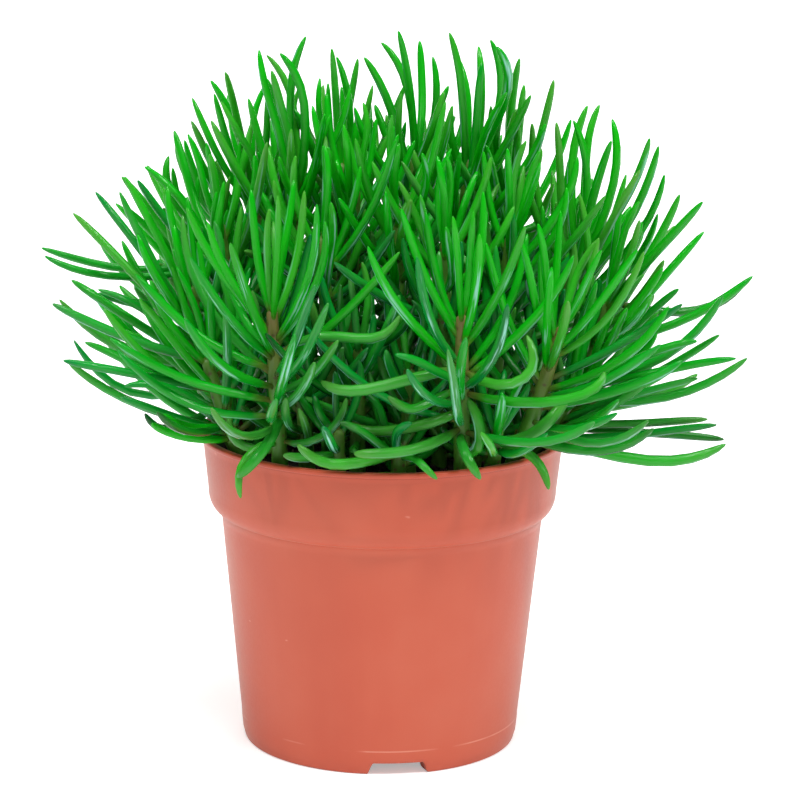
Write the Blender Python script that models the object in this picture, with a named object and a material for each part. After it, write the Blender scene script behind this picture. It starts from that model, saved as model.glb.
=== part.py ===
"""A potted senecio: a bushy succulent with finger leaves, in a thin plastic nursery pot.

Metres, +Z up. The origin is the centre of the pot's underside, on the surface that the pot
stands on. The front of the plant faces -Y.
"""

import math
import random

import bmesh
import bpy
import numpy as np

MM = 0.001

# Pot: a thin moulded shell, with a collar that steps out and a narrow rolled lip
RIM_RADIUS = 60.0 * MM
RIM_HEIGHT = 103.0 * MM
LIP_HEIGHT = 1.6 * MM
COLLAR_TOP_RADIUS = 58.7 * MM
COLLAR_LOW_RADIUS = 56.9 * MM
COLLAR_LOW_HEIGHT = 83.9 * MM
BODY_TOP_RADIUS = 52.5 * MM
BODY_TOP_HEIGHT = 75.5 * MM
BODY_LOW_RADIUS = 45.1 * MM
BODY_LOW_HEIGHT = 3.0 * MM
FOOT_RADIUS = 43.9 * MM
FOOT_INNER_RADIUS = 39.0 * MM
HUB_RADIUS = 12.0 * MM
FLOOR_LIFT = 4.0 * MM
WALL = 1.0 * MM
POT_COLUMNS = 36
NOTCH_ANGLES = (-82.0, 38.0, 158.0)
NOTCH_LOW_WIDTH = 20.0 * MM
NOTCH_TOP_WIDTH = 15.6 * MM
DRAIN_HOLES = 6
DRAIN_RADIUS = 3.5 * MM
DRAIN_CIRCLE = 28.0 * MM
DRAIN_SIDES = 8
DRILL_LENGTH = 6.0 * MM

# Soil: a plug a little below the lip, with a plain hole for each stem
SOIL_HEIGHT = 95.5 * MM
SOIL_CLEARANCE = 0.4 * MM
SOIL_COLUMNS = 24
STEM_DEPTH = 8.0 * MM
HOLE_RADIUS = 3.45 * MM

# Stems and leaves
STEM_LOW_RADIUS = 2.7 * MM
STEM_TOP_RADIUS = 1.8 * MM
STEM_SIDES = 6
STEM_RINGS = (0.0, 0.3, 0.65, 1.0)
BUD_HEIGHT = 2.0 * MM
LEAF_SIDES = 4
LEAF_RINGS = (0.0, 0.36, 0.80, 1.0)
LEAF_THINNEST = 3.1 * MM
LEAF_THICKEST = 3.7 * MM
FLAT_SIDE_ALLOWANCE = 1.12
GOLDEN_ANGLE = math.radians(137.508)
CLEARANCE = 0.5 * MM
SAMPLES = 33
ROOT_SHARE = 0.25
TURN_SHARE = 0.45
HEADING_WEIGHT = 0.35
OUTLINE_TRIES = 40
RULE_TRIES = 26
SEED = 5

# Each stem in mm: name, foot x and y, top x, y and z, how far the foot's straight part leans
# to the top before it rises, length of the leafy part, leaves set by rule, longest leaf
STEMS = (
    ("front_left", -32, -40, -35, -43, 150, 0.50, 36, 14, 56),
    ("front_middle", 25, -44, 24, -47, 150, 0.50, 40, 12, 54),
    ("front_right", 40, -30, 55, -40, 145, 0.60, 42, 14, 54),
    ("left", -46, -12, -62, -12, 151, 0.75, 44, 10, 56),
    ("left_low", -43, -25, -56, -28, 131, 0.60, 26, 7, 50),
    ("left_high", -37, 6, -54, 10, 168, 0.70, 42, 9, 52),
    ("left_back", -42, 24, -62, 34, 150, 0.75, 44, 12, 54),
    ("top_left", -24, 14, -31, 18, 184, 0.60, 36, 7, 46),
    ("top_far_left", -28, 31, -44, 36, 174, 0.60, 40, 9, 50),
    ("top_middle_left", -11, 26, -15, 34, 184, 0.60, 34, 10, 44),
    ("top_middle", 6, 24, 9, 32, 188, 0.60, 36, 8, 44),
    ("top_middle_right", 20, 20, 27, 24, 188, 0.60, 36, 8, 44),
    ("top_right", 32, 32, 42, 38, 176, 0.60, 38, 9, 46),
    ("right_high", 38, 8, 64, 8, 166, 0.75, 40, 8, 50),
    ("right", 47, -6, 72, -6, 150, 0.75, 42, 9, 54),
    ("right_low", 44, -17, 66, -20, 126, 0.45, 34, 9, 52),
    ("right_back", 43, 24, 64, 34, 150, 0.70, 44, 12, 54),
    ("middle_left", -16, -12, -20, -14, 168, 0.50, 34, 8, 50),
    ("middle", 4, -6, 4, -6, 176, 0.50, 34, 8, 50),
    ("middle_front", 18, -16, 19, -20, 168, 0.50, 34, 8, 50),
    ("middle_right", 33, -6, 40, -8, 168, 0.55, 34, 8, 50),
    ("middle_low", -8, -32, -8, -32, 136, 0.50, 30, 8, 44),
    ("middle_back", -12, 6, -10, 8, 180, 0.50, 34, 8, 48),
    ("inner_left", -24, -26, -26, -28, 128, 0.50, 24, 6, 42),
    ("inner_middle", 8, -31, 8, -32, 130, 0.50, 24, 6, 42),
    ("inner_right", 29, -20, 32, -22, 130, 0.50, 24, 6, 42),
    ("back_left", -22, 43, -34, 58, 162, 0.65, 50, 14, 54),
    ("back_middle", 3, 43, 4, 62, 168, 0.65, 52, 14, 54),
    ("back_right", 25, 41, 36, 58, 160, 0.65, 50, 14, 54),
    ("shoot_left", -14, -46, -14, -47, 113, 0.50, 9, 6, 34),
    ("shoot_middle", 5, -47, 5, -48, 109, 0.50, 9, 6, 34),
    ("shoot_right", 34, -38, 36, -41, 113, 0.50, 9, 6, 34),
    ("shoot_back_left", -10, 47, -14, 50, 118, 0.50, 14, 6, 40),
    ("shoot_back_right", 14, 46, 18, 50, 118, 0.50, 14, 6, 40),
)

# Leaves that run out to the plant's outline: for each stem, where their tips lie in mm, and the
# heading of the tip in degrees, as seen from the front, anticlockwise from +X
OUTLINE_TIPS = {
    "left_high": (
        (-109, 2, 163, 150), (-109, -4, 161, 147), (-85, 14, 186, 119), (-77, 8, 188, 137),
        (-68, 14, 196, 101), (-81, 4, 187, 115), (-77, 12, 184, 115),
    ),
    "left": (
        (-102, -18, 156, 146), (-100, -8, 176, 131), (-94, -2, 181, 131), (-84, -10, 187, 120),
        (-83, -18, 183, 119), (-87, -26, 141, 162), (-90, -22, 153, 157),
    ),
    "left_low": (
        (-105, -26, 150, 149), (-97, -30, 138, 159), (-100, -36, 135, 157), (-102, -24, 130, 147),
        (-83, -36, 121, 158), (-80, -44, 128, 178),
    ),
    "top_far_left": (
        (-65, 36, 199, 115), (-58, 38, 213, 120), (-57, 30, 208, 112), (-66, 30, 192, 96),
        (-53, 32, 218, 104), (-73, 22, 187, 105), (-71, 26, 190, 124),
    ),
    "top_left": (
        (-46, 10, 209, 118), (-45, 20, 224, 110), (-40, 14, 220, 114), (-37, 22, 223, 109),
        (-33, 12, 225, 113), (-30, 20, 230, 113),
    ),
    "top_middle_left": ((-18, 36, 224, 93), (-14, 30, 222, 99)),
    "top_middle": (
        (-8, 30, 223, 123), (-1, 34, 227, 120), (3, 28, 231, 114), (9, 36, 224, 105), (17, 30, 222, 93),
    ),
    "top_middle_right": (
        (22, 24, 231, 96), (29, 18, 222, 94), (30, 28, 223, 88), (33, 20, 228, 93), (36, 30, 229, 88),
    ),
    "top_right": (
        (42, 36, 221, 88), (40, 44, 211, 97), (44, 30, 214, 85), (55, 38, 215, 70), (47, 34, 201, 98),
    ),
    "right_high": (
        (56, 2, 205, 90), (61, 8, 205, 110), (64, 14, 207, 86), (67, 4, 207, 85), (70, -2, 200, 88),
        (74, 10, 204, 100), (84, 12, 201, 72), (87, 4, 197, 84), (91, 6, 188, 76),
    ),
    "right": (
        (95, -4, 184, 72), (100, -10, 182, 51), (102, -2, 171, 54), (90, -22, 164, 59),
        (96, -18, 155, 45), (119, -2, 156, 44), (118, -12, 149, 25),
    ),
    "right_low": (
        (106, -24, 154, 66), (101, -28, 140, 3), (107, -18, 140, 37), (109, -30, 137, 12),
        (115, -22, 133, 43), (100, -32, 128, 12), (112, -24, 107, -3), (104, -30, 115, 0),
        (106, -36, 116, 20), (102, -20, 125, 32),
    ),
}
OUTLINE_LEAF = 56.0 * MM

# Leaves that lie over the rim and across the front: stem, thickness in mm, and four points
# of the leaf's middle line in mm, from the stem to the tip
FRONT_LEAVES = (
    ("front_left", 4.2, (-32, -40, 118), (-35, -49, 112), (-39.5, -53.5, 106), (-44.5, -53.5, 99.5)),
    ("front_left", 3.3, (-32, -40, 107), (-38, -45.5, 108.8), (-43.6, -49.8, 104), (-47.3, -52, 94)),
    ("front_left", 3.4, (-32, -40, 105), (-41, -40.5, 107), (-47, -39.5, 110), (-50, -38.5, 117)),
    ("shoot_left", 3.8, (-14, -46, 105), (-20, -50, 106.1), (-26, -52, 106.1), (-32, -52.5, 106.7)),
    ("shoot_middle", 4.2, (5, -47, 106), (-8, -59, 106.3), (-18, -61, 106.8), (-24, -59, 113)),
    ("front_middle", 4.2, (25, -45, 121), (14, -52, 117), (-1, -50, 114), (-12, -49, 115.5)),
    ("front_middle", 4.2, (25, -45, 115), (13, -56.5, 111.5), (1, -62.5, 110.5), (-9, -63, 111)),
    ("shoot_right", 4.8, (35, -39, 110), (42, -45.5, 112.5), (51, -48, 119), (55, -47, 127)),
    ("front_middle", 4.6, (25, -44, 106), (30, -50, 110.5), (30, -52, 118), (26, -52, 126.5)),
    ("shoot_right", 3.6, (35, -38, 105), (42.5, -41.5, 107), (48.5, -45.5, 104), (53, -48, 97)),
    ("front_middle", 3.8, (25, -45, 112), (24, -51.5, 110.5), (25.5, -57, 107.5), (27.5, -61, 102)),
    ("shoot_middle", 3.0, (5, -47, 105), (8.5, -54, 106.6), (11.5, -60.5, 106.2), (14, -65, 102)),
    ("front_right", 4.4, (42, -31, 110), (66, -37, 105.5), (88, -37, 102.5), (107, -34, 108)),
    ("front_left", 4.0, (-34, -42, 135), (-19, -48, 143), (-5, -51, 143), (5, -51, 151)),
    ("front_middle", 4.4, (25, -46, 134), (7, -58, 132), (-8, -60, 129), (-19, -58, 132)),
    ("front_middle", 3.8, (25, -46, 128), (15, -55, 125), (9, -59, 124), (3, -61, 128)),
    ("front_middle", 4.0, (25, -46, 133), (36, -56, 131.5), (45, -58, 136), (48, -57, 147)),
    ("front_middle", 4.0, (25, -46, 126), (42, -53, 126), (60, -57, 129), (71, -55, 135)),
    ("front_left", 3.1, (-32, -40, 108.5), (-23, -51, 110.6), (-15.5, -53, 116.5), (-11.5, -53, 126)),
)

# The dome that leaves set by rule keep inside: half widths in x and y, height above its centre
DOME = (113.0 * MM, 104.0 * MM, 103.0 * MM)
DOME_CENTRE_HEIGHT = 128.0 * MM
DOME_FILL = 0.94

POT_COLOUR = (0.66, 0.15, 0.08, 1.0)
SOIL_COLOUR = (0.03, 0.02, 0.015, 1.0)
LEAF_COLOUR = (0.03, 0.30, 0.03, 1.0)
UP = np.array([0.0, 0.0, 1.0])


def unit(vectors):
    """Each vector at length one."""
    return vectors / np.linalg.norm(vectors, axis=-1, keepdims=True)


def stem_line(stem, s):
    """Points and directions at fractions s of a stem's curve, which bends over one middle point."""
    _, foot_x, foot_y, top_x, top_y, top_z, lean = stem[:7]
    foot = np.array([foot_x, foot_y, SOIL_HEIGHT / MM]) * MM
    top = np.array([top_x, top_y, top_z]) * MM
    middle = foot + (top - foot) * np.array([lean, lean, 0.5])
    s = np.asarray(s, float)[..., None]
    points = (1 - s) ** 2 * foot + 2 * s * (1 - s) * middle + s ** 2 * top
    return points, unit((1 - s) * (middle - foot) + s * (top - middle))


def stem_radius(s):
    """Thick at the foot, thinner at the top."""
    return STEM_LOW_RADIUS - (STEM_LOW_RADIUS - STEM_TOP_RADIUS) * np.asarray(s) ** 2


def leaf_radius(t, thickness):
    """Thinner at the root, full from a third of the way on, closing to a blunt tip."""
    w = np.minimum(t / 0.3, 1.0)
    return 0.5 * thickness * (0.58 + 0.42 * w * w * (3 - 2 * w)) * (1 - t ** 7) ** 0.65


def leaf_by_rule(root, out, radial, side, length, bends, t):
    """A line along out that turns up near its tip, sags, curls back to the stem and sways sideways."""
    rise, droop, curl, sway = bends
    t = t[..., None]
    bend = UP * (rise * t ** 3 - droop * t * (1 - t)) + radial * curl * t * (1 - t) + side * sway * t ** 2
    return root + length * (out * t + bend)


def leaf_to_tip(root, tip, heading, t):
    """A bend from the root to a given tip, where it ends along the heading."""
    turn = tip - TURN_SHARE * np.linalg.norm(tip - root) * heading
    t = t[..., None]
    return (1 - t) ** 2 * root + 2 * t * (1 - t) * turn + t ** 2 * tip


def leaf_through(points, t):
    """The cubic through four points at t = 0, 1/3, 2/3 and 1."""
    t = t[..., None]
    weights = (
        -(3 * t - 1) * (3 * t - 2) * (t - 1) / 2,
        9 * t * (3 * t - 2) * (t - 1) / 2,
        -9 * t * (3 * t - 1) * (t - 1) / 2,
        t * (3 * t - 1) * (3 * t - 2) / 2,
    )
    return sum(np.array(point) * MM * weight for point, weight in zip(points, weights))


class Bed:
    """The space that stems and leaves already take up, as balls along their middle lines."""

    def __init__(self):
        self.points = np.zeros((0, 3))
        self.radii = np.zeros(0)
        self.stems = np.zeros(0, int)
        self.roots = np.zeros(0, bool)

    def add(self, points, radii, stem, roots):
        """Take up the space of one stem or leaf. roots marks the balls near the stem's middle."""
        self.points = np.concatenate([self.points, points])
        self.radii = np.concatenate([self.radii, radii])
        self.stems = np.concatenate([self.stems, np.full(len(points), stem)])
        self.roots = np.concatenate([self.roots, roots])

    def is_clear(self, points, radii, stem, roots):
        """True if a leaf keeps its clearance, except to its own stem and its neighbours' roots."""
        reach = radii.max() + STEM_LOW_RADIUS + CLEARANCE
        near = ((self.points > points.min(0) - reach) & (self.points < points.max(0) + reach)).all(1)
        near &= ~((self.stems == stem) & self.roots)
        gaps = np.linalg.norm(points[:, None] - self.points[near], axis=2)
        gaps -= radii[:, None] + self.radii[near]
        gaps[np.ix_(roots, self.stems[near] == stem)] = 1.0
        return gaps.size == 0 or gaps.min() >= CLEARANCE


def clear_of_pot(points, radii):
    """True if a leaf passes over the rim, stays above the soil inside it, or hangs outside it."""
    across = np.hypot(points[:, 0], points[:, 1])
    under = points[:, 2] - radii - CLEARANCE
    wall = COLLAR_LOW_RADIUS - WALL
    above = under > RIM_HEIGHT
    inside = (across + radii + CLEARANCE < wall) & (under > SOIL_HEIGHT)
    outside = (across - radii - CLEARANCE > RIM_RADIUS) & (under > COLLAR_LOW_HEIGHT)
    return (above | inside | outside).all()


def within_dome(tip):
    """True if a tip lies inside the plant's rounded outline."""
    return (((tip - UP * DOME_CENTRE_HEIGHT) / np.array(DOME)) ** 2).sum() < DOME_FILL


def leaf_space(line, thickness):
    """Balls along a leaf's smooth curve and along its faceted solid, and which are near the root."""
    t = np.linspace(0, 1, SAMPLES)
    rings = np.array(LEAF_RINGS)
    corners = line(rings)
    facets = np.stack([np.interp(t, rings, corners[:, axis]) for axis in range(3)], axis=1)
    wide = FLAT_SIDE_ALLOWANCE * np.interp(t, rings, leaf_radius(rings, thickness))
    points = np.concatenate([line(t), facets])
    radii = np.concatenate([leaf_radius(t, thickness), wide])
    return points, radii, np.tile(t < ROOT_SHARE, 2)


def place_leaf(bed, leaves, number, line, thickness):
    """Keep the leaf if it is clear of the pot, the soil and all that grows already."""
    points, radii, roots = leaf_space(line, thickness)
    if not (clear_of_pot(points, radii) and bed.is_clear(points, radii, number, roots)):
        return False
    bed.add(points, radii, number, roots)
    leaves[number].append((line, thickness))
    return True


def place_outline_leaf(bed, leaves, draw, number, tip):
    """A leaf from the stem's leafy part out to the given tip, from where the heading asks least bend."""
    stem = STEMS[number]
    line_points, _ = stem_line(stem, np.linspace(0, 1, 200))
    leafy = np.linalg.norm(line_points[-1] - line_points, axis=1) < stem[7] * MM
    for attempt in range(OUTLINE_TRIES):
        end = np.array(tip[:3]) * MM + np.array([0, draw.gauss(0, 0.6 * MM * attempt), 0])
        turn = math.radians(tip[3]) + draw.gauss(0, 0.01 * attempt)
        want = (OUTLINE_LEAF + draw.uniform(-4, 4) * MM) * (1 - 0.006 * attempt)
        chords = end - line_points
        aside = np.abs(chords[:, 0] * math.sin(turn) - chords[:, 2] * math.cos(turn))
        misfit = np.abs(np.linalg.norm(chords, axis=1) - want) + HEADING_WEIGHT * aside
        root = line_points[np.argmin(np.where(leafy, misfit, 1.0))]
        heading = unit(np.array([math.cos(turn), unit(end - root)[1], math.sin(turn)]))
        thickness = draw.uniform(LEAF_THINNEST, LEAF_THICKEST)

        def line(t, root=root, end=end, heading=heading):
            return leaf_to_tip(root, end, heading, t)

        if place_leaf(bed, leaves, number, line, thickness):
            return


def place_leaf_by_rule(bed, leaves, draw, number, age, turn):
    """A leaf at its golden angle: upright and short when young, spreading and long when old."""
    stem = STEMS[number]
    leafy, longest = stem[7] * MM, stem[9] * MM
    line_points, _ = stem_line(stem, np.linspace(0, 1, 40))
    total = np.linalg.norm(np.diff(line_points, axis=0), axis=1).sum()
    root, axis = stem_line(stem, 0.99 - 0.985 * age ** 0.9 * leafy / total)
    across = unit(np.cross(axis, [0.0, 1.0, 0.0]))
    along = np.cross(axis, across)
    for attempt in range(RULE_TRIES):
        azimuth = turn + draw.gauss(0, 0.08 + 0.03 * attempt)
        spread = math.radians(9 + 72 * age ** 0.8) + draw.gauss(0, 0.07 + 0.006 * attempt)
        length = longest * (0.62 + 0.38 * min(1, age / 0.4) ** 0.8)
        length *= draw.uniform(0.86, 1.04) * (1 - 0.016 * attempt)
        radial = math.cos(azimuth) * across + math.sin(azimuth) * along
        out = math.cos(spread) * axis + math.sin(spread) * radial
        side = unit(np.cross(out, axis) + 1e-9)
        rise = draw.uniform(0.12, 0.30) * (0.35 + 0.8 * age) + max(0.0, -out[2]) * 0.6
        bends = (rise, draw.uniform(0, 0.14) * age, draw.uniform(0.06, 0.30), draw.uniform(-0.10, 0.10))
        thickness = draw.uniform(LEAF_THINNEST, LEAF_THICKEST) * (0.86 + 0.14 * min(1, age / 0.3))
        shape = (root, out, radial, side, length, bends)

        def line(t, shape=shape):
            return leaf_by_rule(*shape, t)

        if within_dome(line(np.array(1.0))) and place_leaf(bed, leaves, number, line, thickness):
            return


def plan_leaves():
    """For each stem, its leaves as pairs of a middle line and a thickness."""
    bed = Bed()
    leaves = [[] for _ in STEMS]
    draws = [random.Random(1000 * SEED + number) for number in range(len(STEMS))]
    turns = [draw.uniform(0, 2 * math.pi) for draw in draws]
    names = [stem[0] for stem in STEMS]
    s = np.linspace(0, 1, 40)
    for number, stem in enumerate(STEMS):
        bed.add(stem_line(stem, s)[0], stem_radius(s), number, np.ones(len(s), bool))
    for name, thickness, *points in FRONT_LEAVES:

        def line(t, points=points):
            return leaf_through(points, t)

        if not place_leaf(bed, leaves, names.index(name), line, thickness * MM):
            print("no room for a front leaf of", name, points[0])
    for name, tips in OUTLINE_TIPS.items():
        number = names.index(name)
        for tip in tips:
            place_outline_leaf(bed, leaves, draws[number], number, tip)
    for rank in range(max(stem[8] for stem in STEMS)):
        for number, stem in enumerate(STEMS):
            if rank < stem[8]:
                turn = turns[number] + rank * GOLDEN_ANGLE
                place_leaf_by_rule(bed, leaves, draws[number], number, rank / (stem[8] - 1), turn)
    return leaves


def material(name, colour, roughness):
    """A plain surface colour with the given roughness."""
    made = bpy.data.materials.new(name)
    made.use_nodes = True
    shader = made.node_tree.nodes["Principled BSDF"]
    shader.inputs["Base Color"].default_value = colour
    shader.inputs["Roughness"].default_value = roughness
    made.diffuse_color = colour
    return made


def mesh_object(name, points, faces, collection):
    """An object of these points and faces, in the given collection."""
    mesh = bpy.data.meshes.new(name)
    mesh.from_pydata([tuple(point) for point in points], [], faces)
    made = bpy.data.objects.new(name, mesh)
    collection.objects.link(made)
    return made


def finish_round(body, sharp):
    """Shade smooth, with edges sharper than the given degrees left sharp."""
    body.data.shade_smooth()
    body.data.set_sharp_from_angle(angle=math.radians(sharp))


def tube(points, directions, radii, sides, end):
    """Points and faces of a closed tube on rings across a line, brought to the point end."""
    chord = unit(end - points[0])
    reference = np.array([1.0, 0.0, 0.0]) if abs(chord[2]) > 0.9 else UP
    across = unit(np.cross(chord, reference))
    over = unit(np.cross(directions, across))
    across = np.cross(over, directions)
    angles = 2 * np.pi * np.arange(sides) / sides
    circle = np.cos(angles)[:, None] * across[:, None] + np.sin(angles)[:, None] * over[:, None]
    rings = points[:, None] + radii[:, None, None] * circle
    count = len(points)
    faces = [tuple(range(sides))[::-1]]
    for ring in range(count - 1):
        for side in range(sides):
            low, high = ring * sides, (ring + 1) * sides
            after = (side + 1) % sides
            faces.append((low + side, low + after, high + after, high + side))
    last = (count - 1) * sides
    for side in range(sides):
        faces.append((last + side, last + (side + 1) % sides, count * sides))
    return np.concatenate([rings.reshape(-1, 3), [end]]), faces


def make_leaf(name, line, thickness, collection):
    """One finger leaf as a faceted solid, with its root on the stem's middle line."""
    t = np.array(LEAF_RINGS)
    step = 0.01
    directions = unit(line(np.minimum(t + step, 1.0)) - line(np.maximum(t - step, 0.0)))
    radii = FLAT_SIDE_ALLOWANCE * leaf_radius(t, thickness)
    points = line(t)
    skin = tube(points[:-1], directions[:-1], radii[:-1], LEAF_SIDES, points[-1])
    return mesh_object(name, *skin, collection)


def make_stem(name, stem, collection):
    """The stem from its foot in the soil to its bud."""
    s = np.array(STEM_RINGS)
    points, directions = stem_line(stem, s)
    foot = points[:1] - UP * STEM_DEPTH
    bud = points[-1] + directions[-1] * BUD_HEIGHT
    points = np.concatenate([foot, points])
    directions = np.concatenate([[UP, UP], directions[1:]])
    radii = np.concatenate([[STEM_LOW_RADIUS], stem_radius(s)])
    skin = tube(points, directions, radii, STEM_SIDES, bud)
    return mesh_object(name, *skin, collection)


def keep_main_body(mesh):
    """Drop loose scraps and fill sealed hollows, by keeping only the largest closed skin."""
    work = bmesh.new()
    work.from_mesh(mesh)
    unseen = set(work.faces)
    bodies = []
    while unseen:
        body = {unseen.pop()}
        front = list(body)
        while front:
            face = front.pop()
            for edge in face.edges:
                for neighbour in edge.link_faces:
                    if neighbour in unseen:
                        unseen.discard(neighbour)
                        body.add(neighbour)
                        front.append(neighbour)
        bodies.append(body)
    main = max(bodies, key=len)
    extra = [face for body in bodies if body is not main for face in body]
    bmesh.ops.delete(work, geom=extra, context="FACES")
    work.to_mesh(mesh)
    work.free()


def fuse(body, name, parts):
    """Join a collection's objects to the body with one Boolean union, then remove them."""
    union = body.modifiers.new("leaves", "BOOLEAN")
    union.operation = "UNION"
    union.operand_type = "COLLECTION"
    union.collection = parts
    union.solver = "MANIFOLD"
    graph = bpy.context.evaluated_depsgraph_get()
    fused = bpy.data.meshes.new_from_object(body.evaluated_get(graph))
    keep_main_body(fused)
    body.modifiers.clear()
    body.data = fused
    fused.name = name
    for part in list(parts.objects):
        bpy.data.objects.remove(part)
    bpy.data.collections.remove(parts)


def make_leafy_stem(stem, leaves, root):
    """One stem with all its leaves, fused into one body."""
    name = "leafy_stem_" + stem[0]
    body = make_stem(name, stem, root)
    parts = bpy.data.collections.new(name + "_leaves")
    root.children.link(parts)
    for index, (line, thickness) in enumerate(leaves):
        make_leaf(f"{name}_leaf_{index}", line, thickness, parts)
    fuse(body, name, parts)
    body.data.materials.append(material(name, LEAF_COLOUR, 0.45))
    finish_round(body, 50)


def pot_profile():
    """Radius and height of the pot's skin: up the outside, over the lip and down the inside."""
    outside = [
        (0.0, 0.0),
        (HUB_RADIUS, 0.0),
        (HUB_RADIUS + 1.4 * MM, FLOOR_LIFT),
        (FOOT_INNER_RADIUS - 1.4 * MM, FLOOR_LIFT),
        (FOOT_INNER_RADIUS, 0.0),
        (FOOT_RADIUS, 0.0),
        (FOOT_RADIUS + 0.8 * MM, 0.8 * MM),
        (BODY_LOW_RADIUS, BODY_LOW_HEIGHT),
        (BODY_TOP_RADIUS, BODY_TOP_HEIGHT),
    ]
    shoulder = COLLAR_LOW_RADIUS - BODY_TOP_RADIUS
    drop = COLLAR_LOW_HEIGHT - BODY_TOP_HEIGHT
    for turn in (0.30, 0.62, 1.0):
        angle = turn * math.pi / 2
        across = BODY_TOP_RADIUS + shoulder * math.sin(angle)
        outside.append((across, COLLAR_LOW_HEIGHT - drop * 0.82 * math.cos(angle)))
    lip_low = RIM_HEIGHT - LIP_HEIGHT
    outside += [
        (COLLAR_TOP_RADIUS, lip_low),
        (RIM_RADIUS - 0.4 * MM, lip_low),
        (RIM_RADIUS, lip_low + 0.5 * MM),
        (RIM_RADIUS, RIM_HEIGHT - 0.5 * MM),
        (RIM_RADIUS - 0.5 * MM, RIM_HEIGHT),
    ]
    inside = [
        (COLLAR_TOP_RADIUS - WALL, RIM_HEIGHT),
        (COLLAR_LOW_RADIUS - WALL, COLLAR_LOW_HEIGHT + 0.4 * MM),
        (BODY_TOP_RADIUS - WALL, BODY_TOP_HEIGHT + 0.6 * MM),
        (BODY_LOW_RADIUS - WALL, BODY_LOW_HEIGHT),
        (FOOT_RADIUS - 0.6 * WALL, WALL),
        (FOOT_INNER_RADIUS + 1.0 * MM, WALL),
        (FOOT_INNER_RADIUS - 0.6 * MM, FLOOR_LIFT + WALL),
        (HUB_RADIUS + 0.6 * MM, FLOOR_LIFT + WALL),
        (HUB_RADIUS - 1.0 * MM, WALL),
        (0.0, WALL),
    ]
    return np.array(outside), np.array(inside)


def pot_columns():
    """Angles of the pot's mesh columns, with extra ones at the sides of each foot notch."""
    low = NOTCH_LOW_WIDTH / 2 / FOOT_RADIUS
    top = NOTCH_TOP_WIDTH / 2 / FOOT_RADIUS
    even = np.arange(POT_COLUMNS) * 2 * math.pi / POT_COLUMNS
    edges = []
    for degrees in NOTCH_ANGLES:
        middle = math.radians(degrees)
        away = (even - middle + math.pi) % (2 * math.pi) - math.pi
        even = even[(np.abs(np.abs(away) - low) > 0.05) & (np.abs(np.abs(away) - top) > 0.05)]
        edges += [middle - low, middle - top, middle + top, middle + low]
    angles = np.sort(np.concatenate([even, np.array(edges) % (2 * math.pi)]))
    lifted = np.zeros(len(angles), bool)
    for degrees in NOTCH_ANGLES:
        away = (angles - math.radians(degrees) + math.pi) % (2 * math.pi) - math.pi
        lifted |= np.abs(away) < top + 1e-4
    return angles, lifted


def make_pot(root):
    """The turned shell, its foot raised at the notches, with drain holes through its floor."""
    outside, inside = pot_profile()
    profile = np.concatenate([outside, inside])
    is_inside = np.arange(len(profile)) >= len(outside)
    angles, lifted = pot_columns()
    across = np.tile(profile[:, 0], (len(angles), 1))
    height = np.tile(profile[:, 1], (len(angles), 1))
    in_foot = profile[:, 0] > FOOT_INNER_RADIUS - WALL
    floor = FLOOR_LIFT + np.where(is_inside, WALL, 0.0)
    raised = lifted[:, None] & in_foot & (height < floor)
    height = np.where(raised, floor, height)
    ring = slice(1, len(profile) - 1)
    points = np.stack(
        [across * np.cos(angles)[:, None], across * np.sin(angles)[:, None], height], axis=2
    )[:, ring]
    columns, rows = points.shape[:2]
    faces = []
    for column in range(columns):
        after = (column + 1) % columns
        for row in range(rows - 1):
            here, there = column * rows + row, after * rows + row
            faces.append((here, there, there + 1, here + 1))
    hub_low, hub_top = columns * rows, columns * rows + 1
    for column in range(columns):
        here, there = column * rows, (column + 1) % columns * rows
        faces.append((hub_low, there, here))
        faces.append((hub_top, here + rows - 1, there + rows - 1))
    centres = [(0, 0, profile[0, 1]), (0, 0, profile[-1, 1])]
    pot = mesh_object("pot", np.concatenate([points.reshape(-1, 3), centres]), faces, root)
    drill = make_drill(root)
    drain = pot.modifiers.new("drain holes", "BOOLEAN")
    drain.operation = "DIFFERENCE"
    drain.object = drill
    pot.data.materials.append(material("terracotta plastic", POT_COLOUR, 0.45))
    finish_round(pot, 35)


def make_drill(root):
    """Six upright prisms that cut the drain holes, hidden from the finished part."""
    work = bmesh.new()
    for hole in range(DRAIN_HOLES):
        angle = (hole + 0.5) * 2 * math.pi / DRAIN_HOLES
        made = bmesh.ops.create_cone(
            work, cap_ends=True, segments=DRAIN_SIDES, radius1=DRAIN_RADIUS, radius2=DRAIN_RADIUS,
            depth=DRILL_LENGTH,
        )
        place = (DRAIN_CIRCLE * math.cos(angle), DRAIN_CIRCLE * math.sin(angle), FLOOR_LIFT + WALL / 2)
        bmesh.ops.translate(work, verts=made["verts"], vec=place)
    mesh = bpy.data.meshes.new("drain_drill")
    work.to_mesh(mesh)
    work.free()
    drill = bpy.data.objects.new("drain_drill", mesh)
    root.objects.link(drill)
    drill.hide_render = True
    drill.display_type = "WIRE"
    return drill


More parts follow.
